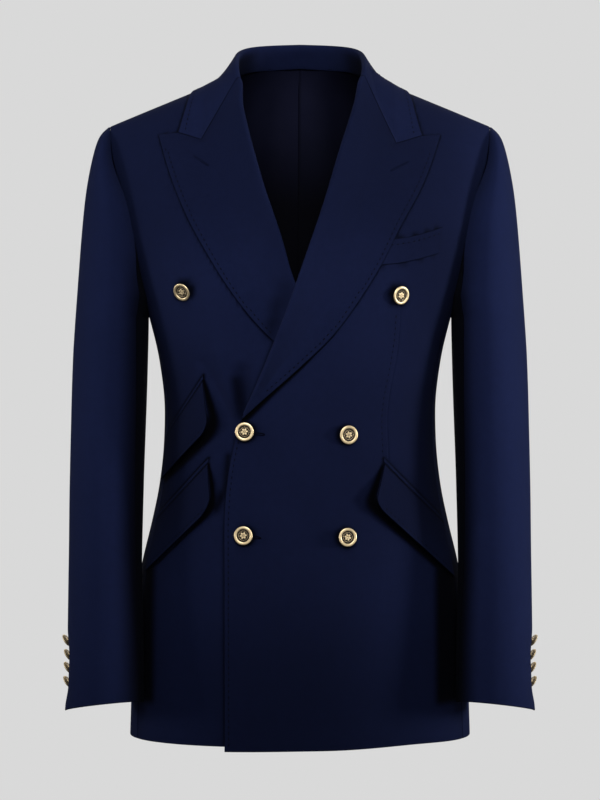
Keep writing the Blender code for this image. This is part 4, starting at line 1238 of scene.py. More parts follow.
def collar_grid():
    """The whole collar, from the right front's end round the neck to the left front's."""
    share = steps(*COLLAR_ALONG, start=False)
    inner, last = COLLAR_LEAF_STEPS
    down = np.concatenate((
        np.linspace(0, GORGE_KNOT, inner)[:-1],
        blend(GORGE_KNOT, 1.0, steps(COLLAR_LEAF_END, last, start=False)),
    ))
    left, right = (collar_half(front, share, down) for front in (LEFT, RIGHT))
    points = np.concatenate((right[:, :0:-1] * (-1, 1, 1), left), axis=1)
    fine = blend(points[0], points[1], np.array(FINE_STEPS[:-1])[:, None, None] / BAND_LINE)
    points = np.concatenate((fine, points[1:]))
    normal = unit(np.cross(np.gradient(points, axis=1), np.gradient(points, axis=0)))
    behind = normal[LEAF_ROW, points.shape[1] // 2, 1]
    return points, normal if behind > 0 else -normal


def lining_grid(front):
    """A back lining, with the pleat on the left and soft waves, and the painted shade inside it."""
    pleated = front is LEFT
    points, normal = back_grid(LINING_HEM_Z, PLEAT if pleated else 0.0, LINING_ACROSS)
    x, z = plan(points)
    sway = np.sin(z * WAVES_UP) * WAVE_SWAY
    waves = WAVE * np.sin(x * WAVES_ACROSS + sway) * ease(*WAVE_START, x)
    painted_side_shade = TURNED_SHADES[front.name] * ease(*TURNED_ENDS, x)
    if pleated:
        waves = waves + PLEAT_RISE * (1 - ease(*PLEAT_ENDS, x))
        crease = CREASE_SHADE * (1 - ease(*CREASE_ENDS, x))
        painted_side_shade = np.maximum(painted_side_shade, np.maximum(crease, BELOW_SHADE * ease(*BELOW_ENDS, z)))
    loose = (waves + LINING_EASE) * (1 - ease(*LINING_EASE_ENDS, z))
    inset = LINING_SEAT + LINING_WALL / 2 + loose
    deep = 1 - (1 - DEEP_SHADE * ease(*DEEP_ENDS, z)) * (1 - painted_side_shade)
    return points - normal * inset[..., None], normal, deep


# ------------------------------------------------------------------ pockets
def flap_plan(row, share, down):
    """Across and height between the flap's four corners."""
    top = [blend(row.front_top[k], row.rear_top[k], share) for k in (0, 1)]
    low = [blend(row.front_low[k], row.rear_low[k], share) for k in (0, 1)]
    return blend(top[0], low[0], down), blend(top[1], low[1], down)


def on_front(front, x, z, lift):
    """Points and normals at a lift over a front."""
    base = on_wall(x, z)
    normal = wall_normals(base, False)
    points = base + normal * (over_lift(front, x) + lift)[..., None]
    return points, grid_normals(points, normal)


def flap_length(row, share):
    """Share of the flap's length that the quarter ellipse at its lower front corner leaves."""
    inside = 1 - np.clip(share / row.corner[0], 0, 1)
    return 1 - row.corner[1] * (1 - np.sqrt(np.clip(1 - inside * inside, 0, 1)))


def flap_outline(row):
    """A flap's front edge, round the corner and along its lower edge, in across and height."""
    down = np.linspace(0.0, 1 - row.corner[1], EDGE_POINTS)
    front = flap_plan(row, 0 * down, down)
    corner = np.linspace(0.0, 1.0, CORNER_STEPS)[1:] ** 2 * row.corner[0]
    share = np.concatenate((corner, LOW_EDGE_SHARES))
    low = flap_plan(row, share, flap_length(row, share))
    return list(zip(*np.concatenate((front, low), axis=1)))


def flap_grid(row):
    """Middle of a flap, which stands off the cloth towards its lower front corner."""
    share = steps(*FLAP_ACROSS)[None, :]
    down = steps(*FLAP_DOWN)[:, None]
    x, z = flap_plan(row, share, down * flap_length(row, share))
    rearward, downward = STAND_OFF_POWERS
    off = blend(row.stand_off, REAR_STAND_OFF, share ** rearward) * down ** downward
    crown = FLAP_CROWN * np.sin(np.pi * down) * (1 - share)
    return on_front(FRONTS[row.side], x, z, FLAP_LIFT + off + crown)


def jet_grid(row):
    """Strip just above the flap's top edge."""
    share = steps(*JET_ACROSS)[None, :]
    up = steps(*JET_UP)[:, None]
    x, z = flap_plan(row, blend(JET_FRONT_SHARE, 1.0, share), 0.0 * up)
    lift = WALL + JET_WALL * (JET_SEAT + JET_CROWN * np.sin(np.pi * up))
    return on_front(FRONTS[row.side], x, z + JET_WIDTH * up, lift)


def welt_line(ends, share):
    """Across and height along a long edge of the welt, which sags between its ends."""
    x, z = [blend(ends[0][k], ends[1][k], share) for k in (0, 1)]
    return x, z - WELT_SAG * np.sin(np.pi * share)


def welt_grid():
    """The breast pocket's curved welt, which leans off the front at its top."""
    share = steps(*WELT_ACROSS)[None, :]
    up = steps(*WELT_UP)[:, None]
    low, top = welt_line(WELT_LOW, share), welt_line(WELT_TOP, share)
    x, z = (blend(low[k], top[k], up) for k in (0, 1))
    return on_front(LEFT, x, z, WALL + WELT_SEAT + WELT_LEAN * up ** 2)


# ------------------------------------------------------------------ sleeves
def armhole(height, back):
    """Across and distance from y = 0 of the armhole's edge, at the middle of the cloth."""
    front_deg = look_up(SEAMS, "front_deg", height)
    back_deg = look_up(SEAMS, "back_deg", height)
    low = np.clip((height - PIT_Z) / PIT_RISE, 0, 1) ** (1 / PIT_POWER)
    middle = (front_deg + back_deg) / 2
    degrees = blend(middle, back_deg if back else front_deg, low)
    x, y = ring(degrees, height)
    t = np.clip((height - ARMPIT_Z) / (close_height(x, back) - ARMPIT_Z), 0, 1)
    shut = (1 - t ** close_power(back)) ** (1 / close_power(back))
    y = y * np.where(height > ARMPIT_Z, shut, 1.0)
    out_x, out_y = np.sin(degrees * DEGREE), -np.cos(degrees * DEGREE)
    return x + out_x * WALL / 2, y + out_y * WALL / 2


def arm_limit(height, back):
    """Degrees round from the outermost line at which the sleeve meets the armhole."""
    reach = armhole(height, back)[1] - look_up(SLEEVE, "centre", height, SLEEVE_SOFT)
    half = look_up(SLEEVE, "half_depth", height, SLEEVE_DEPTH_SOFT)
    sine = np.clip((reach if back else -reach) / half, 0.0, ARM_SINE)
    limit = 180.0 - np.arcsin(sine) / DEGREE
    return np.where(height < PIT_Z, 180.0, limit)


def sleeve_point(degrees, height):
    """Point in the middle of the sleeve's cloth: half an ellipse on either side of the
    outermost line, each running to the armhole above the armpit."""
    back = degrees > 0
    outer = look_up(SLEEVE, "outer", height, SLEEVE_SOFT) - WALL / 2
    half = (outer - look_up(SLEEVE, "inner", height, SLEEVE_SOFT)) / 2
    widths = []
    for side in (False, True):
        limit = arm_limit(height, side)
        cap = (outer - armhole(height, side)[0]) / (1 - np.cos(limit * DEGREE))
        widths.append(blend(half, cap, ease(*(PIT_Z + end for end in CAP_BLEND), height)))
    width = np.where(back, widths[1], widths[0])
    x = outer - width * (1 - np.cos(degrees * DEGREE))
    depth = look_up(SLEEVE, "half_depth", height, SLEEVE_DEPTH_SOFT)
    y = look_up(SLEEVE, "centre", height, SLEEVE_SOFT) + depth * np.sin(degrees * DEGREE)
    return np.stack((x, y, height), axis=-1)


def sleeve_normal(degrees, height, turn=0.5, rise=0.001):
    """Outward unit normal of the sleeve, from points a small turn and drop apart."""
    around = sleeve_point(degrees + turn, height) - sleeve_point(degrees - turn, height)
    upward = sleeve_point(degrees, height) - sleeve_point(degrees, height - rise)
    return unit(np.cross(around, upward))


def hem_height(degrees):
    """The cuff's hem: higher in front and inside, lower behind and outside."""
    angle = degrees * DEGREE
    slant = np.where(np.sin(angle) < 0, *CUFF_SLANTS)
    return CUFF_HEM_Z - slant * np.sin(angle) - CUFF_OUTER_DROP * np.cos(angle)


def sleeve_place(degrees, level):
    """Point and normal of the sleeve's cloth, with its level run out to the slanted hem and
    the pinch and vent at the cuff."""
    down = np.clip((PIT_Z - level) / (PIT_Z - CUFF_Z), 0, 1)
    height = level + (hem_height(degrees) - CUFF_Z) * down
    normal = sleeve_normal(degrees, height)
    points = sleeve_point(degrees, height)
    pinch = ease(*PINCH_TOP, height) * (1 - ease(*PINCH_LOW, height))
    vent = VENT_LIFT * ease(*VENT_LOW, height) - PINCH_DEPTH * pinch
    vent = vent * np.exp(-((degrees - VENT_DEG) / VENT_SPREAD_DEG) ** 2)
    return points + normal * vent[..., None], normal


def top_sleeve_grid():
    """The top sleeve, whose rows come closer together up to the sleeve head."""
    share = steps(*TOP_SLEEVE_ROUND)[None, :]
    low = blend(CUFF_Z, PIT_Z, steps(*SLEEVE_UP, end=False)[:-1])
    rise = np.sin(steps(*SLEEVE_HEAD, start=False) * SLEEVE_HEAD_TURN) / np.sin(SLEEVE_HEAD_TURN)
    level = np.concatenate((low, blend(PIT_Z, SLEEVE_TOP_Z, rise)))[:, None]
    first = np.minimum(look_up(SLEEVE, "front_deg", level), arm_limit(level, False))
    last = np.minimum(look_up(SLEEVE, "back_deg", level), arm_limit(level, True))
    return sleeve_place(blend(-first, last, share), level)


def under_sleeve_grid():
    """The under sleeve, each of whose columns ends where it meets the armhole."""
    share = steps(*UNDER_SLEEVE_ROUND)

    def column_degrees(height, share_at):
        """Angle of the columns, on from behind through the inside to the front."""
        start = look_up(SLEEVE, "back_deg", height)
        return blend(start, 360.0 - look_up(SLEEVE, "front_deg", height), share_at)

    search = np.linspace(*UNDER_SEARCH)[:, None]
    degrees = column_degrees(search, share[None, :])
    behind = degrees > arm_limit(search, True)
    before = 360.0 - degrees > arm_limit(search, False)
    inside = np.where(degrees < 180.0, behind, before)
    top = search[np.argmax(inside, axis=0) - 1, 0]
    low = blend(CUFF_Z, PIT_Z, steps(*SLEEVE_UP, end=False)[:-1])[:, None]
    up = steps(*UNDER_SLEEVE_TOP, start=False)[1:, None]
    level = np.concatenate((low + 0 * top, blend(low[-1, 0], top[None, :], up)))
    degrees = column_degrees(level, share[None, :])
    signed = np.where(degrees > 180.0, degrees - 360.0, degrees)
    return sleeve_place(signed, level)


# ------------------------------------------------------------------ shader nodes
class Wire:
    """A node's output that adds Math nodes where it is used in an expression."""

    def __init__(self, surface, socket):
        self.surface = surface
        self.socket = socket

    def math(self, operation, *others):
        """Another wire, from a Math node."""
        values = dict(enumerate((self, *others)))
        return self.surface.node("ShaderNodeMath", {"operation": operation}, values)[0]

    def __add__(self, other):
        return self.math("ADD", other)

    def __sub__(self, other):
        return self.math("SUBTRACT", other)

    def __rsub__(self, other):
        return self.math("MULTIPLY_ADD", -1.0, other)

    def __mul__(self, other):
        return self.math("MULTIPLY", other)

    def __truediv__(self, other):
        return self.math("DIVIDE", other)

    __radd__ = __add__
    __rmul__ = __mul__


class Surface:
    """A material whose nodes are written as expressions."""

    def __init__(self, name):
        self.material = bpy.data.materials.new(name)
        self.material.use_nodes = True
        self.tree = self.material.node_tree
        self.shader = self.tree.nodes["Principled BSDF"]

    def node(self, kind, settings, values):
        """Add a node: set its settings, then its sockets' values or links, and return its
        outputs, by name and by number, as wires."""
        made = self.tree.nodes.new(kind)
        for key, value in settings.items():
            setattr(made, key, value)
        for key, value in values.items():
            self.put(made.inputs[key], value)
        outputs = {item.name: Wire(self, item) for item in made.outputs}
        outputs.update({i: Wire(self, item) for i, item in enumerate(made.outputs)})
        return outputs

    def put(self, socket, value):
        """Link a wire to a socket, or give it a plain value."""
        if isinstance(value, Wire):
            self.tree.links.new(value.socket, socket)
        else:
            socket.default_value = value

    def set(self, **values):
        """Set the shader's sockets, whose names are written with _ for a space."""
        for key, value in values.items():
            self.put(self.shader.inputs[key.replace("_", " ")], value)

    def stored(self, name):
        """The number that store() kept for each point."""
        return self.node("ShaderNodeAttribute", {"attribute_name": name}, {})["Fac"]

    def noise(self, vector, scale, detail):
        """Noise around 0.5."""
        values = {"Vector": vector, "Scale": scale, "Detail": detail}
        return self.node("ShaderNodeTexNoise", {}, values)[0]

    def mix(self, factor, first, second):
        """A mix of two colours. Sockets 6 and 7 and output 2 are a Mix node's colours."""
        values = {0: factor, 6: first, 7: second}
        return self.node("ShaderNodeMix", {"data_type": "RGBA"}, values)[2]

    def bump(self, height, distance):
        """Raise the surface."""
        values = {"Height": height, "Distance": distance}
        self.set(Normal=self.node("ShaderNodeBump", {}, values)[0])

    def ramp(self, value, low, high):
        """0 at low, 1 at high and straight between them."""
        values = {0: value, 1: low, 2: high}
        return self.node("ShaderNodeMapRange", {"clamp": True}, values)[0]


def shade(colour, factor):
    """A lighter or darker tone of a colour."""
    return (*(c * factor for c in colour), 1.0)


def cut_surface(name):
    """A material, its texture coordinates, and across and along on the cut cloth."""
    s = Surface(name)
    where = s.node("ShaderNodeTexCoord", {}, {})
    cut = s.node("ShaderNodeSeparateXYZ", {}, {"Vector": where["UV"]})
    return s, where, cut["X"], cut["Y"]


# How much each mark of the twill changes its tone, and how much it raises the surface.
Weave = namedtuple("Weave", "rib yarn fine wool broad")
TONE = Weave(0.10, 0.04, 0.5, 0.55, 0.35)
NAP = Weave(0.35, 0.2, 0.9, 0.8, 0.0)
SATIN = namedtuple("Satin", "cloud rib least rib_rise cloud_rise")(0.8, 0.06, 0.1, 0.2, 0.5)
# Roughness of each finish, and how much its marks change it.
ROUGH = namedtuple("Rough", "wool satin thread gold")(
    (0.86, 0.12), (0.55, 0.12), (0.55, 0.05), (0.80, 0.40))


def cloth_material(name, colour, pitch, sheen):
    """Worsted twill: ribs as a sine along a steep diagonal of the cut, yarns across them, and
    a melange of wool tones from noise at three sizes."""
    slant, yarn_turns = 63 * DEGREE, 1.7
    dark, light, pressed = 0.72, 1.28, 0.03
    s, where, u, v = cut_surface(name)
    turn = 2 * np.pi / pitch
    rib = (u * (np.sin(slant) * turn) - v * (np.cos(slant) * turn)).math("SINE")
    across = turn * yarn_turns
    yarn = (u * (np.cos(slant) * across) + v * (np.sin(slant) * across)).math("SINE")
    fine = s.noise(where["UV"], scale=1600.0, detail=2.0)
    wool = s.noise(where["Object"], scale=150.0, detail=4.0)
    broad = s.noise(where["Object"], scale=14.0, detail=3.0)
    tone = 0.5 + rib * TONE.rib + yarn * TONE.yarn
    tone = tone + (fine - 0.5) * TONE.fine + (wool - 0.5) * TONE.wool + (broad - 0.5) * TONE.broad
    wool_tone = s.mix(tone, shade(colour, dark), shade(colour, light))
    # The stored edge number is painted shade: it darkens the cloth towards a near-black tone of its
    # colour (pressed).
    s.set(Base_Color=s.mix(s.stored("edge"), wool_tone, shade(colour, pressed)))
    s.set(Roughness=ROUGH.wool[0] + (wool - 0.5) * ROUGH.wool[1])
    s.set(Sheen_Weight=sheen, Sheen_Roughness=0.55, Sheen_Tint=(0.55, 0.62, 0.95, 1.0))
    s.set(Specular_IOR_Level=0.02)
    height = rib * NAP.rib + yarn * NAP.yarn + fine * NAP.fine + wool * NAP.wool
    s.bump(height, distance=0.00022)
    return s.material


def lining_material(name, colour):
    """Smooth viscose twill: faint fine ribs and a soft gloss."""
    ribs = 6800.0
    dark, light, inside = 0.7, 1.3, 0.10
    s, where, u, v = cut_surface(name)
    rib = (u * ribs - v * ribs).math("SINE")
    cloud = s.noise(where["Object"], scale=22.0, detail=3.0)
    tone = cloud * SATIN.cloud + rib * SATIN.rib + SATIN.least
    satin = s.mix(tone, shade(colour, dark), shade(colour, light))
    # The stored edge number is painted shade: it darkens the satin towards a tenth of its colour
    # (inside).
    s.set(Base_Color=s.mix(s.stored("edge"), satin, shade(colour, inside)))
    s.set(Roughness=ROUGH.satin[0] + cloud * ROUGH.satin[1])
    s.set(Specular_IOR_Level=0.01)
    s.bump(rib * SATIN.rib_rise + cloud * SATIN.cloud_rise, distance=0.0001)
    return s.material


def thread_material(name, colour):
    """Twisted silk thread."""
    twists, contrast = 9000.0, 0.3
    dark, light = 0.6, 1.4
    s, _, u, v = cut_surface(name)
    twist = (u * twists + v * twists).math("SINE")
    s.set(Base_Color=s.mix(twist * contrast + 0.5, shade(colour, dark), shade(colour, light)))
    s.set(Roughness=ROUGH.thread[0] + twist * ROUGH.thread[1])
    s.set(Specular_IOR_Level=0.02)
    s.bump(twist, distance=0.00005)
    return s.material


def gold_material(name, colour, antique):
    """Satin gold with a dark antique finish in the hollows of its relief, told by the relief
    stored on the mesh, and fine rubbing marks."""
    dark, light = 0.62, 0.90
    rubbed, hollow, polished = 0.12, 0.25, 0.85
    s = Surface(name)
    where = s.node("ShaderNodeTexCoord", {}, {})
    marks = s.noise(where["Object"], scale=900.0, detail=4.0)
    patch = s.noise(where["Object"], scale=160.0, detail=2.0)
    worn = s.ramp(s.stored("relief") + (marks - 0.5) * rubbed, hollow, polished)
    bright = s.mix(patch, shade(colour, dark), shade(colour, light))
    s.set(Base_Color=s.mix(worn, (*antique, 1.0), bright))
    s.set(Metallic=worn, Specular_IOR_Level=0.1)
    s.set(Roughness=ROUGH.gold[0] - worn * ROUGH.gold[1] + (marks - 0.5) * rubbed)
    s.bump(marks, distance=0.00003)
    return s.material


# ------------------------------------------------------------------ stitching
def path_frames(points, normals, pitch, offset=0.5):
    """Evenly spaced places along a path, with the direction and the normal at each."""
    run = np.concatenate(([0.0], np.cumsum(np.linalg.norm(np.diff(points, axis=0), axis=1))))
    count = max(int(run[-1] / pitch), 1)
    at = (np.arange(count) + offset) * run[-1] / count
    half = pitch * STITCH_AIM

    def line(where, values):
        """Values read along the path."""
        return np.stack([np.interp(where, run, values[:, k]) for k in range(3)], axis=-1)

    centre = line(at, points)
    tangent = unit(line(np.minimum(at + half, run[-1]), points)
                   - line(np.maximum(at - half, 0), points))
    return centre, tangent, unit(line(at, normals))


def round_index(rings, sides):
    """Point numbers of rings of points, each closed on itself."""
    index = np.arange(rings * sides).reshape(rings, sides)
    return np.concatenate((index, index[:, :1]), axis=1)


def stitch_row(points, normals, pitch, length, radius, sink):
    """Short threads lying along a path: half ellipsoids, flat below, all as one array."""
    centre, tangent, normal = path_frames(points, normals, pitch)
    side = np.cross(tangent, normal)
    theta = np.linspace(0, np.pi, STITCH_RINGS)[:, None]
    phi = np.linspace(0, 2 * np.pi, STITCH_SIDES + 1)[None, :-1]
    along = np.cos(theta) * length / 2 + 0 * phi
    across = np.sin(theta) * np.cos(phi) * radius
    out = np.sin(theta) * np.sin(phi) * radius * STITCH_FLATNESS - sink
    shape = [w.reshape(1, -1, 1) for w in (along, across, out)]
    all_points = (centre[:, None] + tangent[:, None] * shape[0] + side[:, None] * shape[1]
                  + normal[:, None] * shape[2])
    faces = grid_faces(round_index(STITCH_RINGS, STITCH_SIDES), False)
    shift = (np.arange(len(centre)) * STITCH_RINGS * STITCH_SIDES)[:, None, None]
    return all_points.reshape(-1, 3), (faces[None] + shift).reshape(-1, 4)


def join_rows(rows):
    """Several rows of threads as one."""
    points, faces, start = [], [], 0
    for some_points, some_faces in rows:
        points.append(some_points)
        faces.append(some_faces + start)
        start += len(some_points)
    return np.concatenate(points), np.concatenate(faces)


def add_threads(name, rows, sign=1.0, material="navy_thread", dark=None):
    """Add rows of threads as one object, on either side of the body."""
    points, faces = join_rows(rows)
    points = points * (sign, 1, 1)
    if sign < 0:
        faces = faces[:, ::-1]
    uv = points[:, (0, 2)]
    slots = np.zeros(len(faces))
    edge = None if dark is None else np.full(len(points), dark)
    return make_object(name, points, faces, uv, slots, [material], edge)


def outer_face(points, normal, thickness=WALL):
    """The outer face of a sheet, from its middle."""
    return points + normal * (thickness / 2)


def buttonhole_ring(centre, along, normal, length, width):
    """Worked buttonhole: a ribbed half-round cord carried round a long oval."""
    side = np.cross(normal, along)
    u = np.linspace(0, 2 * np.pi, HOLE_STEPS)[:, None]
    phi = np.linspace(0, 2 * np.pi, STITCH_SIDES + 1)[None, :-1]
    c, s = np.cos(u), np.sin(u)
    p = length / 2 * np.sign(c) * np.abs(c) ** HOLE_SQUARENESS[0]
    q = width / 2 * np.sign(s) * np.abs(s) ** HOLE_SQUARENESS[1]
    radius = HOLE_CORD * (1 + HOLE_RIB_DEPTH * np.sin(u * HOLE_RIBS))
    dp, dq = np.gradient(p[:, 0]), np.gradient(q[:, 0])
    size = np.maximum(np.hypot(dp, dq), 1e-9)
    out_p, out_q = (dq / size)[:, None], (-dp / size)[:, None]
    local_p = p + out_p * radius * np.cos(phi)
    local_q = q + out_q * radius * np.cos(phi)
    local_n = radius * HOLE_FLATNESS * np.sin(phi)
    points = (centre + along * local_p[..., None] + side * local_q[..., None]
              + normal * local_n[..., None])
    index = round_index(HOLE_STEPS, STITCH_SIDES)
    index[-1] = index[0]
    return points.reshape(-1, 3), grid_faces(index, False)


# ------------------------------------------------------------------ buttons
def straight_rise(edge, width, at):
    """0 before an edge, then a straight rise to 1 over a width, which may run backwards."""
    return np.clip((at - edge) / width, 0, 1)


def button_points(radius, steps_out, steps_round):
    """Height over a disc: a low rounded rim, a sunken ring, then a rope ring round a rosette of
    six petals with a boss, then the underside and the shank."""
    r = np.linspace(0.0, 1.0, steps_out + 1)[1:, None]
    angle = np.linspace(0, 2 * np.pi, steps_round, endpoint=False)[None, :]
    bulge = 1 - np.abs((r - RIM[0]) / RIM[1]) ** RIM_POWER
    rim = np.sqrt(np.clip(bulge, 0, 1)) * (r > RIM_START)
    strands = ROPE_LEVEL[0] + ROPE_LEVEL[1] * np.sin(ROPE_TURNS * angle)
    rope = np.clip(1 - ((r - ROPE[0]) / ROPE[1]) ** 2, 0, 1) * strands
    lobes = np.abs(np.cos(PETAL_PAIRS * angle)) ** PETAL_ROUND
    petal_end = PETAL_REACH[0] + PETAL_REACH[1] * lobes
    petals = straight_rise(petal_end, -PETAL_EDGE, r) * straight_rise(*PETAL_START, r)
    boss = straight_rise(BOSS[0], -BOSS[1], r)
    raised = np.maximum(np.maximum(rope, petals * PETAL_LEVEL), boss)
    height = BUTTON_FACE + RIM_RISE * rim + RELIEF_RISE * raised
    relief = np.where(r > RELIEF_END, np.clip(rim * RIM_POLISH, 0, 1), raised)
    under_r, under_h = np.array(UNDERSIDE).T[:, :, None]
    r, height = np.concatenate((r, under_r)), np.concatenate((height, under_h + 0 * angle))
    rings = np.stack((r * np.cos(angle), r * np.sin(angle), height), axis=-1) * radius
    ends = ((0, 0, BUTTON_CROWN * radius), (0, 0, 0))
    points = np.concatenate((rings.reshape(-1, 3), ends))
    under = np.full(len(UNDERSIDE) * steps_round, UNDER_POLISH)
    relief = np.concatenate((relief.ravel(), under, (1.0, SHANK_POLISH)))
    index = round_index(len(rings), steps_round)
    last = len(rings) * steps_round
    cap = [(int(a), int(b), last) for a, b in pairs(index[0])]
    cap += [(int(b), int(a), last + 1) for a, b in pairs(index[-1])]
    return points, grid_faces(index, True).tolist() + cap, relief


def add_button(name, place, axis, radius, steps_out, steps_round):
    """Add a button whose shank stands at a place, facing along an axis."""
    points, faces, relief = button_points(radius, steps_out, steps_round)
    turn = Vector((0, 0, 1)).rotation_difference(Vector(axis)).to_matrix()
    points = points @ np.array(turn).T + np.array(place)
    mesh = bpy.data.meshes.new(name)
    mesh.from_pydata(points, [], faces)
    mesh.validate()
    mesh.shade_smooth()
    mesh.materials.append(bpy.data.materials["antique_gold"])
    store(mesh, "relief", relief)
    made = link(name, mesh)
    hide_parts(name)


# ------------------------------------------------------------------ settings
def colour_setting(name, description, default):
    """A colour setting."""
    return bpy.props.FloatVectorProperty(
        name=name, description=description, default=default, subtype="COLOR", min=0.0, max=1.0)


def length_setting(name, description, default, low, high):
    """A length setting, in metres."""
    return bpy.props.FloatProperty(
        name=name, description=description, default=default, min=low, max=high, precision=4,
        unit="LENGTH")


class BlazerCloth(bpy.types.PropertyGroup):
    """Colours and weave of the cloths and metal."""

    navy: colour_setting("Navy worsted", "Colour of the main cloth", (0.0056, 0.0086, 0.0318))
    lining: colour_setting("Lining", "Colour of the lining", (0.0058, 0.0064, 0.0165))
    # The thread is near black: navy thread, darkened by painted shade for the dimples that the
    # stitches sink into.
    thread: colour_setting("Thread", "Colour of the stitching", (0.0006, 0.0008, 0.0035))
    gold: colour_setting("Gold", "Colour of the polished metal", (0.80, 0.635, 0.385))
    antique: colour_setting("Antique", "Colour in the hollows of the buttons", (0.012, 0.010, 0.010))
    rib_pitch: length_setting("Rib pitch", "Distance between the twill's ribs", 0.0009, 0.0003, 0.005)
    sheen: bpy.props.FloatProperty(
        name="Sheen", description="Softness of the wool's surface", default=0.006,
        min=0.0, max=1.0, subtype="FACTOR")


class BlazerSizes(bpy.types.PropertyGroup):
    """Sizes of the trimmings."""

    button_radius: length_setting("Front button", "Radius of a front button", 0.0100, 0.005, 0.02)
    cuff_button_radius: length_setting("Cuff button", "Radius of a cuff button", 0.0072, 0.004, 0.012)
    stitch_pitch: length_setting("Stitch pitch", "Distance between pick stitches", 0.0062, 0.002, 0.02)
    stitch_inset: length_setting("Stitch inset", "From the edge to the stitches", 0.0050, 0.001, 0.02)


class BlazerStudio(bpy.types.PropertyGroup):
    """Camera and light."""

    lens: bpy.props.FloatProperty(
        name="Lens", description="Focal length", default=100.0, min=20.0, max=300.0)
    distance: length_setting("Distance", "Camera's distance from the neck", 2.489, 0.5, 20.0)
    eye_height: length_setting("Eye height", "Camera's height", -0.365, -2.0, 2.0)
    backdrop: colour_setting("Backdrop", "Colour behind the jacket", (0.694, 0.694, 0.694))
    light: bpy.props.FloatProperty(
        name="Light", description="Strength of all the lamps", default=1.0, min=0.0, max=10.0)


# ------------------------------------------------------------------ operators
class BLAZER_OT_cloths(bpy.types.Operator):
    """Make the materials"""

    bl_idname = "blazer.cloths"
    bl_label = "Cloths and metal"

    def execute(self, context):
        look = context.scene.blazer_cloth
        cloth_material("navy_twill", look.navy, look.rib_pitch, look.sheen)
        lining_material("satin_lining", look.lining)
        thread_material("navy_thread", look.thread)
        gold_material("antique_gold", look.gold, look.antique)
        return {"FINISHED"}


def finish_cloth(nodes, cut):
    """Hide the solids that a piece of cloth shows."""
    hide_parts(*nodes)


def add_panel(name, points, normal, sign, cut, **looks):
    """Add a panel of the body or sleeves: worsted outside and lining inside."""
    uv = looks.pop("uv", None)
    uv = cut_uv(points) if uv is None else uv
    made = add_sheet(name, points, normal, WALL, uv, LINED, sign=sign, **looks)
    finish_cloth([name], cut)


class BLAZER_OT_fronts(bpy.types.Operator):
    """Add the two fronts, with the dart, the drape and the facings inside"""

    bl_idname = "blazer.fronts"
    bl_label = "Fronts"

    def execute(self, context):
        for front in (LEFT, RIGHT):
            points, normal, uv = front_grid(front)
            x, z = plan(points)
            lined = (x - x[:, :1] > FACING)[:-1, :-1].astype(int)
            add_panel(f"front_{front.name}", points, normal, front.sign, FRONT_CUT, uv=uv,
                      inside=lined, shade=front_painted_shade(front, x, z))
        return {"FINISHED"}


class BLAZER_OT_backs(bpy.types.Operator):
    """Add the backs, the side panels and the lining across the back"""

    bl_idname = "blazer.backs"
    bl_label = "Backs, sides and lining"

    def execute(self, context):
        for front in (LEFT, RIGHT):
            side, sign = front.name, front.sign
            points, normal = back_grid()
            points = points + normal * (WALL / 2)
            add_panel(f"back_{side}", points, normal, sign, BACK_CUT)
            points, normal = side_grid()
            # Painted shade on the side panel in the gap beside the sleeve, fading towards the back.
            gap = beside_sleeve(front, *plan(points))
            gap = gap * (1 - ease(*SIDE_SHADE_ENDS, points[..., 1]))
            add_panel(f"side_{side}", points, normal, sign, SIDE_CUT, shade=gap)
            points, normal, deep = lining_grid(front)
            name = f"lining_{side}"
            made = add_sheet(name, points, normal, LINING_WALL, cut_uv(points),
                             ["satin_lining"], sign=sign, deep=deep)
            finish_cloth([name], LINING_CUT)
        return {"FINISHED"}


class BLAZER_OT_sleeves(bpy.types.Operator):
    """Add the top sleeves and under sleeves"""

    bl_idname = "blazer.sleeves"
    bl_label = "Sleeves"

    def execute(self, context):
        for side, sign in (("left", 1.0), ("right", -1.0)):
            points, normal = top_sleeve_grid()
            x, z = plan(points)
            inner = look_up(SLEEVE, "inner", z, SLEEVE_SOFT)
            share = (x - inner) / (look_up(SLEEVE, "outer", z, SLEEVE_SOFT) - inner)
            # Painted shade on the top sleeve's side towards the body.
            inward = 1 - ease(*SLEEVE_SHADE_ENDS[side], share)
            add_panel(f"sleeve_top_{side}", points, normal, sign, TOP_SLEEVE_CUT,
                      shade=SLEEVE_SHADE * inward * ease(*SLEEVE_SHADE_TOP, z))
            points, normal = under_sleeve_grid()
            y, z = points[..., 1], points[..., 2]
            # Painted shade on the under sleeve, from just behind its middle to the front.
            before = look_up(SLEEVE, "centre", z, SLEEVE_SOFT) - y
            add_panel(f"sleeve_under_{side}", points, normal, sign, UNDER_SLEEVE_CUT,
                      shade=SLEEVE_SHADE * ease(*UNDER_SHADE_ENDS, before))
        return {"FINISHED"}


class BLAZER_OT_lapels(bpy.types.Operator):
    """Add the lapels, rolled round the fronts' edges"""

    bl_idname = "blazer.lapels"
    bl_label = "Lapels"

    def execute(self, context):
        for front in (LEFT, RIGHT):
            points, normal = lapel_grid(front)
            name = f"lapel_{front.name}"
            made = add_sheet(name, points, normal, WALL, cut_uv(points), UNLINED,
                             sign=front.sign, shade=soft_shade(front, *plan(points)))
            finish_cloth([name], LAPEL_CUT)
        return {"FINISHED"}


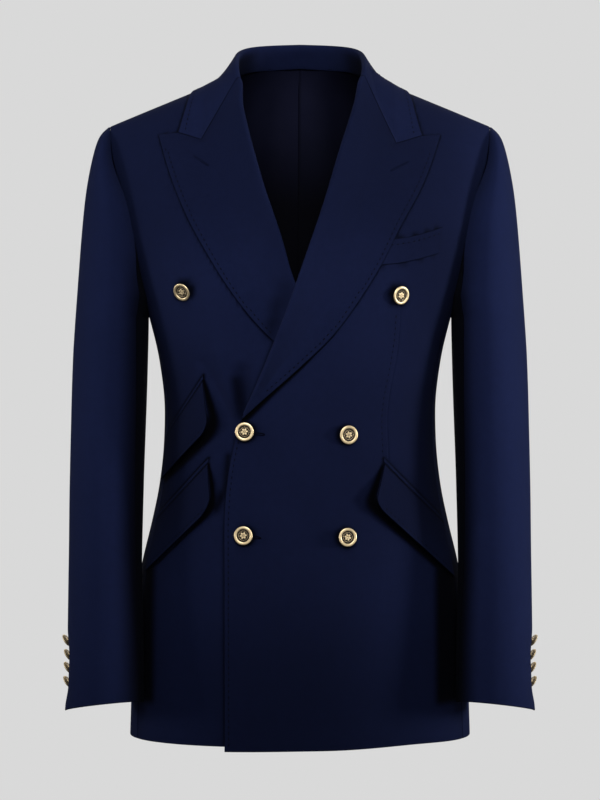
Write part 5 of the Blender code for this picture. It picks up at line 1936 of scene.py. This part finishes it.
class BLAZER_OT_collar(bpy.types.Operator):
    """Add the collar: the band inside the neck, the fold and the leaf in one"""

    bl_idname = "blazer.collar"
    bl_label = "Collar"

    def execute(self, context):
        points, normal = collar_grid()
        x = points[..., 0]
        # Painted shade on the band inside the neck, darker towards its ends, and on the leaf on one
        # side.
        run = arc_lengths(points, 0)
        band = 1 - ease(*BAND_FADE, run / run[FOLD_LINE])
        shade = band * (BAND_SHADE + BAND_SIDE_SHADE * ease(*BAND_SIDE_ENDS, np.abs(x)))
        shade = 1 - (1 - shade) * (1 - LEAF_SHADE * ease(*LEAF_SHADE_ENDS, x))
        made = add_sheet("collar", points, normal, WALL, cut_uv(points), UNLINED, shade=shade)
        finish_cloth(["collar_fall", "collar_stand"], COLLAR_CUT)
        return {"FINISHED"}


class BLAZER_OT_pockets(bpy.types.Operator):
    """Add the flaps, the jets above them and the breast welt"""

    bl_idname = "blazer.pockets"
    bl_label = "Pockets"

    def add_piece(self, name, grid, front, thickness, edge, cut, soft_share=1.0):
        """Add a piece that lies on a front, with the front's painted soft shade and painted shade at
        its edge.
        """
        points, normal = grid
        soft = soft_share * (1 - soft_shade(front, *plan(points)))
        made = add_sheet(name, points, normal, thickness, cut_uv(points), UNLINED,
                         sign=front.sign, shade=1 - (1 - edge) * soft)
        finish_cloth([name], cut)

    def execute(self, context):
        for row in FLAPS:
            front = FRONTS[row.side]
            grid = flap_grid(row)
            # Painted shade along the flap's top edge, and along the jet's edges.
            top = FLAP_TOP_SHADE * (1 - ease(*FLAP_TOP_ENDS, arc_lengths(grid[0], 0)))
            self.add_piece(row.name, grid, front, WALL, top, Cut(FLAP_FLAT, row.area),
                           FLAP_SOFT_SHARE)
            grid = jet_grid(row)
            line = 1 - ease(*JET_EDGE_ENDS, edge_distance(grid[0]))
            area = max(row.area * JET_AREA_SHARE, JET_AREA_LEAST)
            self.add_piece(row.name.replace("flap", "jet"), grid, front, JET_WALL, line,
                           Cut(JET_FLAT, area))
        self.add_piece("welt_left", welt_grid(), LEFT, JET_WALL, 0.0, WELT_CUT)
        return {"FINISHED"}


class BLAZER_OT_buttons(bpy.types.Operator):
    """Add the front buttons and the cuff buttons"""

    bl_idname = "blazer.buttons"
    bl_label = "Buttons"

    def execute(self, context):
        sizes = context.scene.blazer_sizes
        for row in BUTTONS:
            front = FRONTS[row.front]
            x = row.across * front.sign
            base = np.array([[x, float(wall(x, row.height, False)), row.height]])
            normal = wall_normals(base, False)[0]
            lift = float(over_lift(front, x)) + WALL + BUTTON_SEAT
            place = (base[0] + normal * lift) * (front.sign, 1, 1)
            axis = unit(normal * (front.sign, 1, 1) + (row.lean_x, 0.0, row.lean_z))
            add_button(row.name, place, axis, sizes.button_radius, *BUTTON_STEPS)
        tilt, turn = CUFF_BUTTON_TILT_DEG * DEGREE, CUFF_BUTTON_TURN_DEG * DEGREE
        out = np.array((np.cos(turn), np.sin(turn), 0.0))
        axis = out * np.cos(tilt) - (0.0, 0.0, np.sin(tilt))
        for side, sign in (("left", 1.0), ("right", -1.0)):
            for count, height in enumerate(CUFF_BUTTON_HEIGHTS, start=1):
                point, _ = sleeve_place(np.array(CUFF_BUTTON_DEG), np.array(height))
                place = (point + out * CUFF_BUTTON_SEAT) * (sign, 1, 1)
                add_button(f"cuff_button_{side}_{count}", place, axis * (sign, 1, 1),
                           sizes.cuff_button_radius, *CUFF_BUTTON_STEPS)
        return {"FINISHED"}


def nearest(points, normal, x, z):
    """The grid's point nearest to a place in the plan of x and z, and its normal."""
    away = np.hypot(points[..., 0] - x, points[..., 2] - z)
    at = np.unravel_index(np.argmin(away), away.shape)
    return points[at], normal[at]


def hole_ring(points, normal, row):
    """A worked buttonhole between two places on the outer face of a grid."""
    first, up = nearest(points, normal, row.x0, row.z0)
    last, _ = nearest(points, normal, row.x1, row.z1)
    along = last - first
    size = np.linalg.norm(along)
    along = unit(along - up * np.dot(along, up))
    return buttonhole_ring((first + last) / 2, along, up, size, row.width)


def line_near(runs, length):
    """Number of the grid line at a length from the first one, or from the last if minus."""
    return np.argmin(np.abs(runs - length - (runs[..., -1:] if length < 0 else 0)), axis=-1)


class BLAZER_OT_stitching(bpy.types.Operator):
    """Add the pick stitches and the buttonholes"""

    bl_idname = "blazer.stitching"
    bl_label = "Stitching"

    def lapels(self, inset, pick):
        """Stitches beside the lapels' outer edges, and their buttonholes."""
        for front in (LEFT, RIGHT):
            points, normal = lapel_grid(front)
            face = outer_face(points, normal)
            column = line_near(arc_lengths(points, 1), -inset)
            row = np.arange(len(face))
            places = [values[row, column][LAPEL_PICK] for values in (face, normal)]
            add_threads(f"pick_lapel_{front.name}", [pick(*places)], front.sign)
            leaf = slice(LEAF_FIRST + 1, None)
            holes = [hole_ring(face[:, leaf], normal[:, leaf], row) for row in LAPEL_HOLES
                     if row.front == front.name]
            add_threads(f"hole_lapel_{front.name}", holes, front.sign, "navy_twill", HOLE_SHADE)

    def left_front(self, inset, pick):
        """Stitches beside the over front's edge and its dart and along the welt, and the
        front's buttonholes."""
        points, normal, _ = front_grid(LEFT)
        face = outer_face(points, normal)
        column = line_near(arc_lengths(points, 1)[0], inset)
        height = face[:, column, 2]
        low, top = FRONT_PICK_Z
        keep = (height < top) & (height > low)
        rows = [pick(face[keep, column], normal[keep, column])]
        beside = look_up(DART, "across", points[..., 2]) - DART_PICK_IN
        column = np.argmin(np.abs(points[..., 0] - beside), axis=1)
        low, top = DART_ENDS[0] + DART_PICK_CLEAR[0], DART_ENDS[1] - DART_PICK_CLEAR[1]
        keep = (height < top) & (height > low)
        row = np.arange(len(face))
        rows.append(pick(face[row, column][keep], normal[row, column][keep]))
        holes = [hole_ring(face, normal, row) for row in FRONT_HOLES]
        points, normal = welt_grid()
        row = line_near(arc_lengths(points, 0)[:, 0], WELT_PICK_UP)
        face = outer_face(points, normal, JET_WALL)
        rows.append(pick(face[row, WELT_PICK], normal[row, WELT_PICK]))
        add_threads("pick_front_left", rows + holes)

    def lower_edge(self, name, grid, inset, column, keep, pick, sign=1.0):
        """Stitches beside the last line of a grid, measured on one of its columns."""
        points, normal = grid
        row = line_near(arc_lengths(points, 0)[:, column], -inset)
        face = outer_face(points, normal)
        add_threads(name, [pick(face[row, keep], normal[row, keep])], sign)

    def execute(self, context):
        sizes = context.scene.blazer_sizes
        inset = sizes.stitch_inset
        pick = partial(stitch_row, pitch=sizes.stitch_pitch, **PICK)
        self.lapels(inset, pick)
        self.left_front(inset, pick)
        self.lower_edge("pick_collar", collar_grid(), inset, COLLAR_PICK_COLUMN, COLLAR_PICK,
                        pick)
        for row in FLAPS:
            self.lower_edge(row.name.replace("flap", "pick"), flap_grid(row), inset,
                            FLAP_PICK_COLUMN, FLAP_PICK, pick, FRONTS[row.side].sign)
        return {"FINISHED"}


class BLAZER_OT_studio(bpy.types.Operator):
    """Add the floor, the lamps, the pale surroundings and the camera"""

    bl_idname = "blazer.studio"
    bl_label = "Studio"

    def add_camera(self, scene, studio):
        """A level camera in front."""
        data = bpy.data.cameras.new("camera")
        data.lens = studio.lens
        data.sensor_width = SENSOR_WIDTH
        camera = bpy.data.objects.new("camera", data)
        camera.location = (0.0, -studio.distance, studio.eye_height)
        camera.rotation_euler = (np.pi / 2, 0.0, 0.0)
        scene.collection.objects.link(camera)
        scene.camera = camera

    def add_lamp(self, scene, row, light):
        """A soft box aimed at the jacket."""
        lamp = bpy.data.lights.new(row.name, "AREA")
        lamp.shape = "RECTANGLE"
        lamp.size, lamp.size_y = row.size
        lamp.spread = row.spread * DEGREE
        lamp.energy = row.power * light
        made = bpy.data.objects.new(row.name, lamp)
        made.location = row.place
        made.visible_camera = False
        aim = Vector(row.target) - Vector(row.place)
        made.rotation_euler = aim.to_track_quat("-Z", "Y").to_euler()
        scene.collection.objects.link(made)

    def add_world(self, scene, colour):
        """The backdrop's colour for the camera, dimmer for light and a little for gloss."""
        scene.world = bpy.data.worlds.new("studio")
        scene.world.use_nodes = True
        tree = scene.world.node_tree
        shown = tree.nodes["Background"]
        soft, mirrored = (tree.nodes.new("ShaderNodeBackground") for _ in range(2))
        for node, strength in ((shown, 1.0), (soft, SOFT_WORLD), (mirrored, MIRRORED_WORLD)):
            node.inputs["Color"].default_value = (*colour, 1.0)
            node.inputs["Strength"].default_value = strength
        path = tree.nodes.new("ShaderNodeLightPath")
        light = soft.outputs[0]
        for ray, other in (("Is Glossy Ray", mirrored), ("Is Camera Ray", shown)):
            mixed = tree.nodes.new("ShaderNodeMixShader")
            tree.links.new(path.outputs[ray], mixed.inputs["Fac"])
            tree.links.new(light, mixed.inputs[1])
            tree.links.new(other.outputs[0], mixed.inputs[2])
            light = mixed.outputs[0]
        tree.links.new(light, tree.nodes["World Output"].inputs["Surface"])

    def add_floor(self, scene):
        """A round pale floor that fades out at its edge."""
        surface = Surface("pale_floor")
        where = surface.node("ShaderNodeTexCoord", {}, {})
        away = surface.node("ShaderNodeVectorMath", {"operation": "LENGTH"},
                            {0: where["Object"]})["Value"]
        surface.set(Base_Color=(0.80, 0.80, 0.80, 1.0), Roughness=0.7)
        surface.set(Alpha=surface.ramp(away, *FLOOR_FADE))
        rings = np.linspace(*FLOOR_RINGS)[:, None]
        angle = np.linspace(0, 2 * np.pi, FLOOR_SIDES + 1)[None, :-1]
        flat = np.stack((rings * np.cos(angle), rings * np.sin(angle), 0 * rings * angle), -1)
        index = round_index(len(rings), FLOOR_SIDES)
        faces = grid_faces(index, False).tolist() + [index[0, :-1][::-1].tolist()]
        mesh = bpy.data.meshes.new("floor")
        mesh.from_pydata(flat.reshape(-1, 3), [], faces)
        mesh.materials.append(surface.material)
        floor = bpy.data.objects.new("floor", mesh)
        floor.location = (0.0, 0.0, FLOOR_Z)
        scene.collection.objects.link(floor)

    def execute(self, context):
        scene, studio = context.scene, context.scene.blazer_studio
        scene.view_settings.view_transform = "Standard"
        self.add_camera(scene, studio)
        for row in LAMPS:
            self.add_lamp(scene, row, studio.light)
        self.add_world(scene, studio.backdrop)
        self.add_floor(scene)
        return {"FINISHED"}


class BLAZER_PT_panel(bpy.types.Panel):
    """Builds the blazer piece by piece"""

    bl_label = "Blazer"
    bl_idname = "BLAZER_PT_panel"
    bl_space_type = "VIEW_3D"
    bl_region_type = "UI"
    bl_category = "Blazer"

    def draw(self, context):
        for group in ("blazer_cloth", "blazer_sizes", "blazer_studio"):
            settings = getattr(context.scene, group)
            box = self.layout.box()
            for key in settings.__annotations__:
                box.prop(settings, key)
        for operator in OPERATORS:
            self.layout.operator(operator.bl_idname)


GROUPS = {"blazer_cloth": BlazerCloth, "blazer_sizes": BlazerSizes, "blazer_studio": BlazerStudio}
OPERATORS = (BLAZER_OT_studio, BLAZER_OT_cloths, BLAZER_OT_fronts, BLAZER_OT_backs,
             BLAZER_OT_sleeves, BLAZER_OT_lapels, BLAZER_OT_collar, BLAZER_OT_pockets,
             BLAZER_OT_buttons, BLAZER_OT_stitching)


def register():
    for name, group in GROUPS.items():
        bpy.utils.register_class(group)
        setattr(bpy.types.Scene, name, bpy.props.PointerProperty(type=group))
    for operator in OPERATORS:
        bpy.utils.register_class(operator)
    bpy.utils.register_class(BLAZER_PT_panel)


def unregister():
    bpy.utils.unregister_class(BLAZER_PT_panel)
    for operator in reversed(OPERATORS):
        bpy.utils.unregister_class(operator)
    for name, group in GROUPS.items():
        delattr(bpy.types.Scene, name)
        bpy.utils.unregister_class(group)


def main():
    register()
    for operator in OPERATORS:
        family, name = operator.bl_idname.split(".")
        getattr(getattr(bpy.ops, family), name)()


if __name__ == "__main__":
    main()
